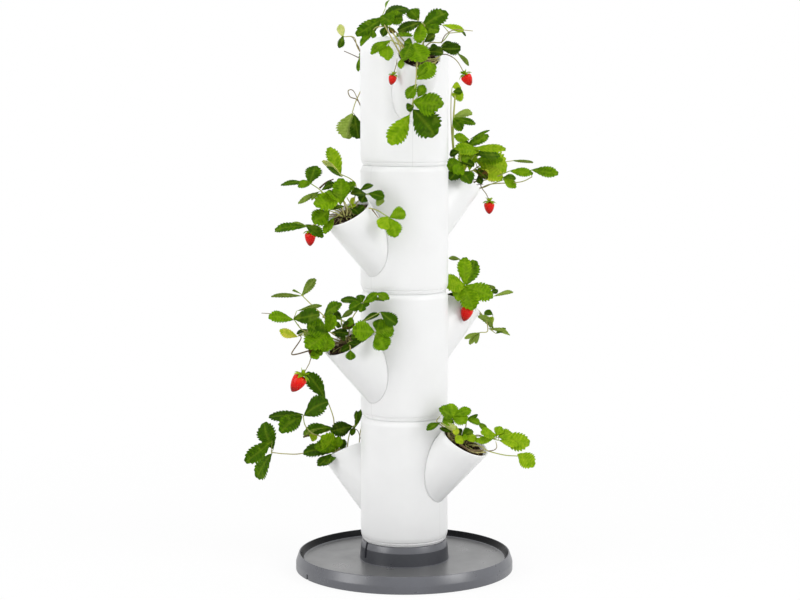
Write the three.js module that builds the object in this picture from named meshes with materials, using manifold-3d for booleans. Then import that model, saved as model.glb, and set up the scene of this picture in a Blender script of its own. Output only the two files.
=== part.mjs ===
// Vertical planter tower: four alike modules stacked on the collar of a round saucer.
// Each module has two planting pockets on opposite sides, one higher than the other.
// Millimetres, +Z up. The origin is the middle of the saucer's underside, on the ground.

import * as THREE from 'three';
import { mergeVertices } from 'three/addons/utils/BufferGeometryUtils.js';
import Module from 'manifold-3d';

const wasm = await Module();
wasm.setup();

// Fits
const restGap = 0.3;
const boreClearance = 1;
const soilClearance = 0.9;
const mergeDistance = 0.002;

// Module body
const modulePitch = 230;
const bodyRadius = 80;
const wall = 2.6;
const footRadius = 72.5;
const footFillet = 16;
const lipRadius = 73.2;
const lipFillet = 14.5;
const spigotRadius = 70;
const spigotLength = 14;
const flangeWidth = 7;
const flangeThickness = 2.5;

// Planting pocket, measured from the point where its underside leaves the wall
const lowerPocketHeight = 30;
const upperPocketHeight = 77;
const pocketTiltDeg = 44;
const pocketDraftDeg = 1.5;
const pocketReach = 136.5;
const pocketRise = 119;
const pocketHalfDepth = 45;
const pocketHalfWidth = 38;
const pocketLength = 140;
const pocketOverrun = 60;
const mouthTiltDeg = 28;

// Floor plate that carries the soil above the spigot's flange
const plateThickness = 2.5;
const plateClearance = 1;
const plateHoleRadius = 4;
const plateHoleCircle = 42;
const plateHoleCount = 8;

// Soil
const soilDepthAtMouth = 8;
const soilBelowSpigot = 8;

// Saucer
const saucerRadius = 200;
const skirtHeight = 14;
const rimHeight = 30;
const rimInset = 5.5;
const rimTopWidth = 2;
const dishRadius = 186;
const dishHeight = 18.5;
const dishSheet = 3;
const collarHeight = 54;
const collarBevelHeight = 43;
const collarBaseRadius = 82;
const collarRadius = 80;
const collarTopRadius = 77.5;
const collarWall = 3;
const collarLedgeDepth = 8;
const footRingWidth = 2.6;
const footPadRadius = 14;
const slotWidth = 4.5;
const slotBottom = 26;
const slotDirectionDeg = 209;
const notchWidth = 4;
const notchHeight = 10;
const notchDepth = 8;

// How each module is turned in the tower, as the direction of its upper pocket
const moduleTurnsDeg = [324, 41.5, 41.5, 280.6];

// Plants: their spreads, each the unit of a plant's own table, then their parts
const frontSpread = 177;
const nearSpread = 180;
const farSpread = 189;
const rearSpread = 191;
const crownRadius = 9;
const crownHeight = 9;
const stalkRadius = 1.4;
const bladeRoot = 1.5;
const bladeThickness = 2;
const calyxHeight = 3;
const berryGap = 0.3;

// Facets
const bodySegments = 24;
const saucerSegments = 36;
const soilSegments = 18;
const pocketSegments = 18;
const plateHoleSides = 6;
const arcSteps = 2;

const deg = THREE.MathUtils.degToRad;

function material(colour, roughness) {
  return new THREE.MeshStandardMaterial({ color: colour, roughness, metalness: 0 });
}

const whitePlastic = material('#eef0ef', 0.35);
const greyPlastic = material('#4d5052', 0.5);
const soilEarth = material('#2b211a', 1);
const foliage = material('#4c8a1c', 0.6);
const redFruit = material('#d3171c', 0.3);

// A closed mesh turned into a solid: shared corners merged, collapsed faces left out
function toSolid(geometry) {
  const bare = geometry.clone();
  bare.deleteAttribute('normal');
  bare.deleteAttribute('uv');
  const merged = mergeVertices(bare, mergeDistance);
  const corners = merged.index.array;
  const faces = [];
  for (let i = 0; i < corners.length; i += 3) {
    const [a, b, c] = corners.slice(i, i + 3);
    if (a !== b && b !== c && c !== a) faces.push(a, b, c);
  }
  return new wasm.Manifold(new wasm.Mesh({
    numProp: 3,
    vertProperties: new Float32Array(merged.attributes.position.array),
    triVerts: new Uint32Array(faces),
  }));
}

function toMesh(name, solid, look) {
  const { vertProperties, triVerts } = solid.getMesh();
  const geometry = new THREE.BufferGeometry();
  geometry.setAttribute('position', new THREE.BufferAttribute(vertProperties, 3));
  geometry.setIndex(new THREE.BufferAttribute(triVerts, 1));
  geometry.computeVertexNormals();
  const mesh = new THREE.Mesh(geometry, look);
  mesh.name = name;
  return mesh;
}

function joined(solids) {
  return solids.reduce((whole, solid) => whole.add(solid));
}

// A solid turned about the axis; profile points are [radius, height]
function revolved(profile, segments) {
  const points = profile.map(([radius, height]) => new THREE.Vector2(radius, height));
  return toSolid(new THREE.LatheGeometry(points, segments).rotateX(deg(90)));
}

// Points along an arc, given by the two heights between which it runs
function arc(centreRadius, centreHeight, radius, fromHeight, toHeight) {
  const from = Math.asin((fromHeight - centreHeight) / radius);
  const to = Math.asin((toHeight - centreHeight) / radius);
  const points = [];
  for (let i = 0; i <= arcSteps; i += 1) {
    const angle = from + (to - from) * i / arcSteps;
    points.push([centreRadius + radius * Math.cos(angle), centreHeight + radius * Math.sin(angle)]);
  }
  return points;
}

function polygon(radius, sides) {
  const corners = [];
  for (let i = 0; i < sides; i += 1) {
    const angle = deg(360 * i / sides);
    corners.push(new THREE.Vector2(radius * Math.cos(angle), radius * Math.sin(angle)));
  }
  return corners;
}

function boxSolid(sizeX, sizeY, sizeZ, x, y, z, turnDeg) {
  return toSolid(new THREE.BoxGeometry(sizeX, sizeY, sizeZ).translate(x, y, z).rotateZ(deg(turnDeg)));
}

// Heights of a module, measured from the seam below it
const lipTop = modulePitch - restGap;
const innerRadius = bodyRadius - wall;
const spigotInner = spigotRadius - wall;
const lipBore = spigotRadius + boreClearance;
const footCentreRadius = bodyRadius - footFillet;
const footCentreHeight = Math.sqrt(footFillet ** 2 - (footRadius - footCentreRadius) ** 2);
const lipCentreRadius = bodyRadius - lipFillet;
const lipCentreHeight = lipTop - Math.sqrt(lipFillet ** 2 - (lipRadius - lipCentreRadius) ** 2);

// Where the inner fillets, one wall inside the outer ones, meet the spigot and the bore
const footInner = footFillet - wall;
const lipInner = lipFillet - wall;
const footInnerHeight = footCentreHeight - Math.sqrt(footInner ** 2 - (spigotInner - footCentreRadius) ** 2);
const lipInnerHeight = lipCentreHeight + Math.sqrt(lipInner ** 2 - (lipBore - lipCentreRadius) ** 2);

// The pockets of a module: height of the tip on the wall, and the side of the module
const pockets = [
  { level: 'upper', height: upperPocketHeight, side: 0 },
  { level: 'lower', height: lowerPocketHeight, side: 180 },
];

function mouthCentre(pocket) {
  const reach = new THREE.Vector3(pocketReach, 0, pocket.height + pocketRise);
  return reach.applyAxisAngle(new THREE.Vector3(0, 0, 1), deg(pocket.side));
}

// A drafted elliptic tube along a pocket's axis, shrunk all round by inset
function pocketTube(pocket, inset) {
  const depth = pocketHalfDepth - inset;
  const width = pocketHalfWidth - inset;
  const draft = Math.tan(deg(pocketDraftDeg));
  const top = 1 + pocketOverrun * draft / pocketHalfDepth;
  const bottom = 1 - pocketLength * draft / pocketHalfDepth;
  const tube = new THREE.CylinderGeometry(top, bottom, pocketLength + pocketOverrun, pocketSegments)
    .rotateX(deg(90))
    .translate(0, 0, (pocketOverrun - pocketLength) / 2)
    .scale(depth, width, 1)
    .rotateY(deg(pocketTiltDeg))
    .translate(pocketReach, 0, pocket.height + pocketRise)
    .rotateZ(deg(pocket.side));
  return toSolid(tube);
}

// Everything above the mouth plane of a pocket, lowered along its normal by drop
function aboveMouth(pocket, drop) {
  const size = 2 * (pocketOverrun + pocketHalfDepth);
  const block = new THREE.BoxGeometry(size, size, size)
    .translate(0, 0, size / 2 - drop)
    .rotateY(deg(mouthTiltDeg))
    .translate(pocketReach, 0, pocket.height + pocketRise)
    .rotateZ(deg(pocket.side));
  return toSolid(block);
}

function bodyOutside() {
  return revolved([
    [0, -spigotLength],
    [spigotRadius, -spigotLength],
    [spigotRadius, 0],
    ...arc(footCentreRadius, footCentreHeight, footFillet, 0, footCentreHeight),
    ...arc(lipCentreRadius, lipCentreHeight, lipFillet, lipCentreHeight, lipTop),
    [0, lipTop],
  ], bodySegments);
}

function bodyInside() {
  const flangeTop = flangeThickness - spigotLength;
  return revolved([
    [0, -spigotLength - wall],
    [spigotInner - flangeWidth, -spigotLength - wall],
    [spigotInner - flangeWidth, flangeTop],
    [spigotInner, flangeTop],
    ...arc(footCentreRadius, footCentreHeight, footInner, footInnerHeight, footCentreHeight),
    ...arc(lipCentreRadius, lipCentreHeight, lipInner, lipCentreHeight, lipInnerHeight),
    [lipBore, lipTop + wall],
    [0, lipTop + wall],
  ], bodySegments);
}

// The shell: body and pockets in one wall, hollow right through
function moduleShell() {
  const outside = joined([
    bodyOutside(),
    ...pockets.map((pocket) => pocketTube(pocket, 0).subtract(aboveMouth(pocket, 0))),
  ]);
  const inside = joined([bodyInside(), ...pockets.map((pocket) => pocketTube(pocket, wall))]);
  return outside.subtract(inside);
}

const plateBottom = flangeThickness - spigotLength + restGap;

function floorPlate() {
  const outline = new THREE.Shape().absarc(0, 0, spigotInner - plateClearance, 0, deg(360));
  for (let i = 0; i < plateHoleCount; i += 1) {
    const turn = deg(360 * i / plateHoleCount);
    const middle = new THREE.Vector2(plateHoleCircle * Math.cos(turn), plateHoleCircle * Math.sin(turn));
    const corners = polygon(plateHoleRadius, plateHoleSides).map((corner) => corner.add(middle));
    outline.holes.push(new THREE.Path(corners));
  }
  const plate = new THREE.ExtrudeGeometry(outline, {
    depth: plateThickness, bevelEnabled: false, curveSegments: soilSegments / 2,
  });
  return toSolid(plate.translate(0, 0, plateBottom));
}

// Soil: a column inside the body, joined to the fill of both pockets
function substrate() {
  const bottom = plateBottom + plateThickness + restGap;
  const top = lipTop - spigotLength - soilBelowSpigot;
  const narrow = spigotInner - plateClearance;
  const wide = innerRadius - soilClearance;
  const column = revolved([
    [0, bottom],
    [narrow, bottom],
    [narrow, footInnerHeight + soilClearance],
    [wide, footCentreHeight + soilClearance],
    [wide, top],
    [0, top],
  ], soilSegments);
  const fills = pockets.map((pocket) => (
    pocketTube(pocket, wall + soilClearance).subtract(aboveMouth(pocket, soilDepthAtMouth))
  ));
  return joined([column, ...fills]);
}

function saucer() {
  const underside = dishHeight - dishSheet;
  const footRing = collarRadius - footRingWidth;
  const skirtInner = saucerRadius - dishSheet;
  const crest = saucerRadius - rimInset;
  const hollowTop = (rimHeight + underside) / 2;
  const bore = spigotRadius + boreClearance;
  const top = collarHeight - restGap;
  const well = collarRadius - collarWall;
  const body = revolved([
    [0, 0],
    [footPadRadius, 0],
    [footPadRadius, underside],
    [footRing, underside],
    [footRing, 0],
    [collarRadius, 0],
    [collarRadius, underside],
    [dishRadius, underside],
    [(dishRadius + skirtInner) / 2 + dishSheet / 2, hollowTop],
    [skirtInner, skirtHeight - dishSheet / 2],
    [skirtInner, 0],
    [saucerRadius, 0],
    [saucerRadius, skirtHeight],
    [crest, rimHeight],
    [crest - rimTopWidth, rimHeight],
    [dishRadius, dishHeight],
    [collarBaseRadius, dishHeight],
    [collarRadius, collarBevelHeight],
    [collarTopRadius, top],
    [bore, top],
    [bore, top - collarLedgeDepth],
    [well, top - collarLedgeDepth - (well - bore)],
    [well, dishHeight],
    [0, dishHeight],
  ], saucerSegments);
  const slotLength = collarBaseRadius - bore + 2 * collarWall;
  const slotHeight = collarHeight - slotBottom;
  const slot = boxSolid(
    slotLength, slotWidth, slotHeight,
    (collarBaseRadius + bore) / 2, 0, slotBottom + slotHeight / 2, slotDirectionDeg,
  );
  const notch = boxSolid(
    notchDepth, notchWidth, 2 * notchHeight,
    saucerRadius, 0, 0, slotDirectionDeg,
  );
  return body.subtract(slot).subtract(notch);
}

// A plant's places are shares of its spread, seen from the front of the tower and measured
// from the middle of its pocket's mouth: [right, up, near]. A blade adds its width share.
// A leaf has the joint of its blades and, where its stalk bends, the bends on the way.
const plants = [
  {
    module: 1, level: 'upper', spread: nearSpread,
    leaves: [
      { joint: [-0.12, 0.26, -0.05], blades: [
        [-0.26, 0.31, 0.08, 0.12], [-0.12, 0.37, -0.15, 0.1], [0.04, 0.31, -0.12, 0.09],
        [0, 0.2, 0.12, 0.09], [-0.21, 0.2, 0.12, 0.08],
      ] },
      { joint: [-0.25, 0.18, 0.12], blades: [[-0.38, 0.11, 0.15, 0.07], [-0.11, 0.11, 0.18, 0.08]] },
      { joint: [0.03, 0.22, -0.05], blades: [[0.2, 0.12, -0.15, 0.07], [0.12, 0.27, -0.2, 0.03]] },
      { joint: [-0.03, 0.05, 0.05], blades: [[0.06, 0.11, 0.08, 0.09], [-0.08, 0.09, 0.1, 0.08]] },
      { joint: [0.31, 0.04, 0.05], bends: [[0.15, 0.03, 0.03]], blades: [
        [0.16, 0.08, 0.2, 0.12], [0.42, 0.08, -0.1, 0.09], [0.34, 0.14, -0.15, 0.06],
        [0.63, -0.03, 0.05, 0.16],
      ] },
      { joint: [0.52, -0.14, 0.2], bends: [[0.17, -0.07, 0.13], [0.3, -0.11, 0.18]], blades: [
        [0.69, -0.24, 0.32, 0.14],
      ] },
    ],
  },
  {
    module: 1, level: 'lower', spread: farSpread,
    leaves: [
      { joint: [-0.2, 0.52, -0.1], bends: [[-0.13, 0.3, -0.05]], blades: [[-0.38, 0.79, -0.2, 0.13]] },
      { joint: [-0.42, 0.36, 0.1], bends: [[-0.34, 0.18, 0.05]], blades: [
        [-0.18, 0.49, 0.22, 0.17], [-0.76, 0.33, -0.05, 0.07], [-0.65, 0.18, 0.28, 0.15],
      ] },
      { joint: [-0.74, -0.02, -0.2], bends: [[-0.16, 0.05, -0.03], [-0.43, -0.03, -0.12]], blades: [
        [-0.82, 0.27, -0.3, 0.15], [-1.01, -0.12, -0.1, 0.12], [-0.86, -0.27, -0.35, 0.15],
      ] },
      { joint: [-0.15, 0.22, -0.15], blades: [[-0.42, 0.15, -0.3, 0.11], [-0.32, 0.1, 0, 0.06]] },
      { joint: [0.06, 0.25, -0.1], blades: [[-0.15, 0.19, 0.05, 0.11], [0.15, 0.4, -0.2, 0.04]] },
      { joint: [-0.1, 0.05, 0.05], blades: [[-0.25, 0.11, 0.2, 0.13], [-0.41, -0.02, 0.05, 0.14]] },
      { joint: [-0.14, 0.02, 0.2], bends: [[-0.1, 0.07, 0.12]], blades: [[-0.25, -0.15, 0.28, 0.09]] },
    ],
  },
  {
    module: 2, level: 'upper', spread: farSpread,
    leaves: [
      { joint: [0.05, 0.14, 0.26], bends: [[0.03, 0.14, 0.12]], blades: [
        [0.06, 0.44, 0.1, 0.19], [-0.1, 0.27, 0.3, 0.17], [0.31, 0.04, 0.18, 0.17],
        [0.12, -0.07, 0.37, 0.16], [-0.12, 0.1, 0.32, 0.1],
      ] },
      { joint: [0.16, 0.13, -0.1], blades: [[0.35, 0.13, -0.2, 0.09]] },
      { joint: [0.35, 0.08, -0.25], blades: [[0.53, 0.1, -0.4, 0.05]] },
      { joint: [0.25, -0.28, -0.15], bends: [[0.17, -0.02, -0.1], [0.24, -0.12, -0.15]], blades: [
        [0.23, -0.15, -0.02, 0.09], [0.32, -0.16, -0.3, 0.1], [0.49, -0.31, -0.1, 0.06],
        [0.07, -0.37, -0.05, 0.05], [0.12, -0.43, -0.2, 0.06],
      ] },
    ],
    fruit: [{ name: 'strawberry_2_upper', top: [0.1, -0.03, 0.27], tip: [0.05, -0.18, 0.27], width: 0.1,
      bends: [[0.08, 0.07, 0.15]] }],
  },
  {
    module: 2, level: 'lower', spread: nearSpread,
    leaves: [
      { joint: [-0.47, 0.46, -0.2], bends: [[-0.2, 0.22, -0.05]], blades: [
        [-0.73, 0.46, -0.3, 0.07], [-0.31, 0.62, -0.35, 0.07],
      ] },
      { joint: [-0.53, 0.23, 0.15], blades: [
        [-0.78, 0.24, 0.25, 0.11], [-0.27, 0.27, 0.3, 0.14], [-0.3, 0.36, 0.05, 0.05],
      ] },
      { joint: [-0.25, 0.24, -0.1], blades: [[-0.06, 0.38, -0.05, 0.1]] },
      { joint: [-0.3, 0.11, 0.17], blades: [
        [-0.13, 0.27, 0.2, 0.15], [-0.29, -0.11, 0.3, 0.21], [-0.66, 0.1, 0.05, 0.07],
      ] },
      { joint: [0.13, 0.37, 0], bends: [[0.06, 0.2, 0.02]], blades: [
        [-0.05, 0.4, -0.1, 0.08], [0.42, 0.42, 0.06, 0.06], [0.1, 0.29, 0.1, 0.07],
      ] },
      { joint: [0.02, 0.15, 0.05], blades: [[0.06, 0.3, 0.03, 0.05], [0.13, 0.17, 0.1, 0.07]] },
      { joint: [0.07, 0.09, 0.15], blades: [[0.27, 0.11, 0.22, 0.12]] },
      { joint: [0.35, 0.15, 0.14], bends: [[0.17, 0.2, 0.08]], blades: [
        [0.48, 0.2, 0.1, 0.1], [0.34, 0.3, 0.05, 0.07], [0.37, -0.07, 0.2, 0.16],
      ] },
      { joint: [0.04, -0.05, 0.27], bends: [[0, 0.03, 0.17]], blades: [[0.03, -0.18, 0.3, 0.08]] },
      { joint: [-0.25, -0.09, 0.2], bends: [[-0.16, -0.04, 0.16]], blades: [[-0.27, -0.19, 0.24, 0.09]] },
    ],
    fruit: [{ name: 'strawberry_2_lower', top: [-0.44, -0.34, 0.2], tip: [-0.55, -0.51, 0.2], width: 0.155,
      bends: [[-0.16, -0.03, 0.16], [-0.34, -0.15, 0.2]] }],
  },
  {
    module: 3, level: 'upper', spread: farSpread,
    leaves: [
      { joint: [-0.07, 0.83, -0.05], bends: [[-0.08, 0.35, 0]], blades: [[0.03, 0.88, -0.15, 0.12]] },
      { joint: [-0.05, 0.62, 0.05], bends: [[-0.06, 0.3, 0.05]], blades: [
        [0.12, 0.68, -0.1, 0.09], [0.15, 0.57, 0.15, 0.06], [0.03, 0.5, 0.17, 0.08],
      ] },
      { joint: [0.09, 0.42, -0.1], blades: [
        [-0.05, 0.44, 0, 0.08], [0.28, 0.45, -0.2, 0.07], [0.29, 0.5, -0.3, 0.03],
      ] },
      { joint: [0.14, 0.32, 0.1], blades: [
        [0.45, 0.32, 0.25, 0.08], [-0.05, 0.29, 0.17, 0.13], [0.38, 0.26, -0.02, 0.07],
      ] },
      { joint: [0.28, 0.09, -0.15], blades: [[0.42, 0.27, -0.25, 0.17], [0.42, 0.03, -0.05, 0.1]] },
      { joint: [0.2, 0.17, 0.08], blades: [[0.4, 0.19, 0.2, 0.1], [0.05, 0.23, 0.15, 0.09]] },
      { joint: [0.53, 0.21, -0.25], bends: [[0.35, 0.19, -0.15]], blades: [[0.75, 0.19, -0.35, 0.05]] },
      { joint: [0.71, 0.1, 0.05], blades: [[0.5, 0.1, 0.15, 0.07], [0.98, 0.09, 0.1, 0.1]],
        bends: [[0.17, -0.05, -0.16], [0.32, -0.03, -0.1], [0.6, -0.01, 0]] },
      { joint: [0.42, -0.01, -0.2], bends: [[0.2, 0.03, -0.12]], blades: [[0.55, -0.06, -0.3, 0.08]] },
      { joint: [0, 0.13, 0.26], bends: [[0.01, 0.14, 0.12]], blades: [
        [-0.12, 0.13, 0.3, 0.14], [-0.1, -0.03, 0.35, 0.13], [0.1, -0.02, 0.34, 0.13],
      ] },
    ],
    fruit: [{ name: 'strawberry_3_upper', top: [0.3, -0.2, -0.1], tip: [0.3, -0.32, -0.1], width: 0.105,
      bends: [[0.15, 0.03, -0.06], [0.24, -0.05, -0.1]] }],
  },
  {
    module: 3, level: 'lower', spread: nearSpread,
    leaves: [
      { joint: [-0.04, 0.37, -0.1], bends: [[0.06, 0.2, -0.05]], blades: [
        [-0.18, 0.63, -0.15, 0.13], [-0.25, 0.47, 0.05, 0.06],
      ] },
      { joint: [-0.35, 0.29, -0.05], blades: [
        [-0.33, 0.46, -0.2, 0.14], [-0.64, 0.27, -0.1, 0.05], [-0.46, 0.26, 0.12, 0.07],
      ] },
      { joint: [-0.25, 0.21, 0.2], blades: [[-0.47, 0.09, 0.35, 0.05], [-0.33, 0.15, 0.3, 0.05]] },
      { joint: [-0.06, 0.19, 0.15], blades: [
        [-0.3, 0.09, 0.3, 0.15], [-0.06, 0.34, 0.2, 0.1], [0.07, 0.31, 0.1, 0.1],
      ] },
      { joint: [0.19, 0.18, 0.03], blades: [
        [0.06, 0.2, 0.12, 0.1], [0.25, 0.27, 0.02, 0.07], [0.33, 0.09, 0.1, 0.1],
      ] },
      { joint: [0.41, -0.05, 0.12], bends: [[0.17, 0.12, 0.04], [0.3, 0.04, 0.1]], blades: [
        [0.57, -0.02, 0.1, 0.13], [0.48, -0.23, 0.17, 0.14], [0.33, -0.16, 0.18, 0.11],
      ] },
      { joint: [-0.18, 0.04, 0.15], blades: [[-0.32, -0.1, 0.26, 0.16], [-0.02, 0.06, 0.18, 0.04]] },
      { joint: [-0.41, -0.14, 0.05], bends: [[-0.17, -0.04, 0.13]], blades: [
        [-0.7, -0.18, -0.1, 0.08], [-0.26, -0.24, 0.2, 0.11],
      ] },
    ],
    fruit: [{ name: 'strawberry_3_lower', top: [-0.37, -0.2, 0.02], tip: [-0.37, -0.34, 0.02], width: 0.1,
      bends: [[-0.18, -0.02, 0.14], [-0.33, -0.1, 0.04]] }],
  },
  {
    module: 4, level: 'upper', spread: frontSpread,
    leaves: [
      { joint: [-0.33, 0.31, -0.15], blades: [
        [-0.62, 0.21, -0.05, 0.12], [-0.13, 0.49, -0.35, 0.14], [-0.2, 0.33, 0.05, 0.08],
      ] },
      { joint: [0, 0.36, -0.2], blades: [[-0.11, 0.49, -0.35, 0.12]] },
      { joint: [0.05, 0.31, 0], blades: [
        [0.29, 0.44, -0.1, 0.12], [0.2, 0.26, 0.15, 0.12], [-0.21, 0.25, 0.12, 0.08], [0, 0.13, 0.15, 0.11],
      ] },
      { joint: [0.06, 0.12, 0.1], blades: [[0.16, 0.19, 0.15, 0.06]] },
      { joint: [0.31, 0.29, -0.05], bends: [[0.2, 0.13, 0]], blades: [[0.42, 0.25, -0.1, 0.05]] },
      { joint: [0.21, 0.1, 0.1], blades: [[0.4, 0.07, 0.05, 0.1], [0.48, -0.1, 0.2, 0.04]] },
      { joint: [-0.07, 0, 0.2], blades: [[-0.14, 0.13, 0.15, 0.13]] },
      { joint: [-0.02, 0.13, 0.18], blades: [[0.06, -0.05, 0.32, 0.18]] },
      { joint: [0.09, 0.09, 0.15], blades: [[0.23, 0, 0.2, 0.1]] },
      { joint: [-0.3, 0.14, 0.1], blades: [[-0.43, 0.03, 0.2, 0.09], [-0.31, -0.04, 0.17, 0.1]] },
      { joint: [-0.47, 0.24, -0.05], blades: [[-0.57, 0.1, 0, 0.06], [-0.42, 0.17, 0, 0.06]] },
      { joint: [-0.03, -0.21, 0.33], bends: [[0, -0.03, 0.22], [-0.02, -0.1, 0.31]], blades: [
        [0.16, -0.13, 0.36, 0.15],
      ] },
      { joint: [-0.05, -0.46, 0.34], bends: [[-0.02, -0.02, 0.21], [-0.06, -0.22, 0.34]], blades: [
        [0.22, -0.47, 0.42, 0.2], [0.18, -0.79, 0.36, 0.24], [-0.28, -0.87, 0.3, 0.16],
        [0.06, -0.31, 0.33, 0.1], [-0.13, -0.42, 0.33, 0.08],
      ] },
    ],
    fruit: [
      { name: 'strawberry_4_left', top: [-0.25, -0.15, 0.02], tip: [-0.26, -0.27, 0.02], width: 0.08,
        bends: [[-0.19, 0.09, 0], [-0.245, 0.03, 0.01]] },
      { name: 'strawberry_4_right', top: [0.43, -0.15, 0.1], tip: [0.52, -0.28, 0.1], width: 0.11,
        bends: [[0.22, 0.05, 0.08], [0.34, -0.01, 0.1]] },
    ],
  },
  {
    module: 4, level: 'lower', spread: rearSpread,
    leaves: [
      { joint: [-0.47, 0.38, 0], bends: [[-0.3, 0.3, 0]], blades: [[-0.49, 0.57, 0, 0.07]] },
      { joint: [-0.31, 0.24, 0.02], blades: [[-0.32, 0.08, 0.04, 0.05]] },
      { joint: [-0.38, -0.28, 0], bends: [[-0.18, 0.06, 0], [-0.3, -0.1, 0]], blades: [
        [-0.45, -0.54, 0, 0.21], [-0.32, -0.54, -0.05, 0.12],
      ] },
      { joint: [0.15, 0.3, -0.1], blades: [
        [0.35, 0.35, -0.1, 0.2], [0.1, 0.5, -0.15, 0.18], [0.22, 0.12, -0.25, 0.18],
      ] },
      { joint: [-0.1, 0.25, -0.25], blades: [
        [-0.3, 0.3, -0.4, 0.18], [-0.05, 0.45, -0.35, 0.2], [0.1, 0.15, -0.5, 0.2],
      ] },
    ],
  },
];

// Outline of a blade as [share of its length, share of its half width]
const bladeOutlineShares = [[0, 0], [0.3, 0.85], [0.68, 0.9], [1, 0], [0.68, -0.9], [0.3, -0.85]];
const bladeMiddleShare = 0.5;
const bladeFacing = new THREE.Vector3(0, -0.85, 0.5);
const berryProfileShares = [[0, 0], [0.24, 0.1], [0.44, 0.4], [0.5, 0.72], [0.36, 0.95], [0, 1]];
const stalkRiseShare = 0.18;
const stalkRootShare = 0.3;
const crownTopShare = 0.7;
const stalkStepsPerBend = 1;
const stalkSides = 3;
const calyxSides = 6;
const crownSides = 8;
const berrySegments = 9;

// Places seen from the front: right is +X, near is -Y
function placeOf([right, up, near], spread) {
  return new THREE.Vector3(right, -near, up).multiplyScalar(spread);
}

// A leaf blade: a thin lens on its outline, facing forward and up, rooted in its stalk's end
function bladeSolid(joint, tip, width) {
  const root = tip.clone().sub(joint).setLength(bladeRoot);
  const base = joint.clone().sub(root);
  const along = tip.clone().sub(base);
  const across = along.clone().cross(bladeFacing).normalize().multiplyScalar(width / 2);
  const normal = across.clone().cross(along).normalize().multiplyScalar(bladeThickness / 2);
  const middle = base.clone().addScaledVector(along, bladeMiddleShare);
  const points = bladeOutlineShares.map(([lengthShare, widthShare]) => (
    base.clone().addScaledVector(along, lengthShare).addScaledVector(across, widthShare)
  ));
  const count = points.length;
  points.push(middle.clone().add(normal), middle.clone().sub(normal));
  const faces = [];
  for (let i = 0; i < count; i += 1) {
    const next = (i + 1) % count;
    faces.push(i, next, count, next, i, count + 1);
  }
  const geometry = new THREE.BufferGeometry().setFromPoints(points);
  geometry.setIndex(faces);
  return toSolid(geometry);
}

function stalkSolid(places) {
  const section = new THREE.Shape(polygon(stalkRadius, stalkSides));
  return toSolid(new THREE.ExtrudeGeometry(section, {
    extrudePath: new THREE.CatmullRomCurve3(places),
    steps: stalkStepsPerBend * (places.length - 1),
    bevelEnabled: false,
  }));
}

// From the crown's near side to the end, by the bends given or over one raised middle
function stalkPlaces(crown, bends, end) {
  const toward = (bends[0] ?? end).clone().sub(crown).setLength(stalkRootShare * crownRadius);
  const start = crown.clone().add(toward);
  if (bends.length > 0) return [start, ...bends, end];
  const raised = start.clone().lerp(end, 0.5);
  raised.z += stalkRiseShare * start.distanceTo(end);
  return [start, raised, end];
}

function turnedAlong(geometry, direction) {
  const turn = new THREE.Quaternion().setFromUnitVectors(new THREE.Vector3(0, 1, 0), direction);
  return geometry.applyQuaternion(turn);
}

function calyxSolid(top, direction, width) {
  const cone = new THREE.ConeGeometry(width / 2, calyxHeight, calyxSides).translate(0, calyxHeight / 2, 0);
  const placed = turnedAlong(cone, direction.clone().negate());
  return toSolid(placed.translate(top.x, top.y, top.z));
}

function berrySolid(top, tip, width) {
  const down = tip.clone().sub(top);
  const length = down.length() - berryGap;
  const points = berryProfileShares.map(([radiusShare, lengthShare]) => (
    new THREE.Vector2(radiusShare * width, (lengthShare - 1) * length)
  ));
  const berry = new THREE.LatheGeometry(points, berrySegments);
  const direction = down.normalize();
  const placed = turnedAlong(berry, direction.clone().negate());
  const start = top.clone().addScaledVector(direction, berryGap);
  return toSolid(placed.translate(start.x, start.y, start.z));
}

// The crown sits on the soil, square to it, and turned the way the pocket points
function crownSolid(directionDeg) {
  const crown = new THREE.CylinderGeometry(crownRadius / 2, crownRadius, crownHeight, crownSides)
    .rotateX(deg(90))
    .translate(0, 0, crownHeight / 2 + restGap - soilDepthAtMouth)
    .rotateY(deg(mouthTiltDeg))
    .rotateZ(deg(directionDeg));
  return toSolid(crown);
}

function crownTop(directionDeg) {
  const height = crownTopShare * crownHeight - soilDepthAtMouth;
  return new THREE.Vector3(0, 0, height)
    .applyAxisAngle(new THREE.Vector3(0, 1, 0), deg(mouthTiltDeg))
    .applyAxisAngle(new THREE.Vector3(0, 0, 1), deg(directionDeg));
}

function plantSolid(plant, directionDeg) {
  const crown = crownTop(directionDeg);
  const place = (shares) => placeOf(shares, plant.spread);
  const pieces = [crownSolid(directionDeg)];
  for (const leaf of plant.leaves) {
    const joint = place(leaf.joint);
    const bends = (leaf.bends ?? []).map(place);
    pieces.push(stalkSolid(stalkPlaces(crown, bends, joint)));
    for (const [right, up, near, widthShare] of leaf.blades) {
      pieces.push(bladeSolid(joint, place([right, up, near]), widthShare * plant.spread));
    }
  }
  for (const fruit of plant.fruit ?? []) {
    const top = place(fruit.top);
    const direction = place(fruit.tip).sub(top).normalize();
    const stalkEnd = top.clone().addScaledVector(direction, -calyxHeight / 2);
    pieces.push(stalkSolid(stalkPlaces(crown, fruit.bends.map(place), stalkEnd)));
    pieces.push(calyxSolid(top, direction, fruit.width * plant.spread));
  }
  return joined(pieces);
}

const tower = new THREE.Group();
tower.add(toMesh('saucer', saucer(), greyPlastic));

const shell = moduleShell();
const plate = floorPlate();
const soil = substrate();

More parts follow.
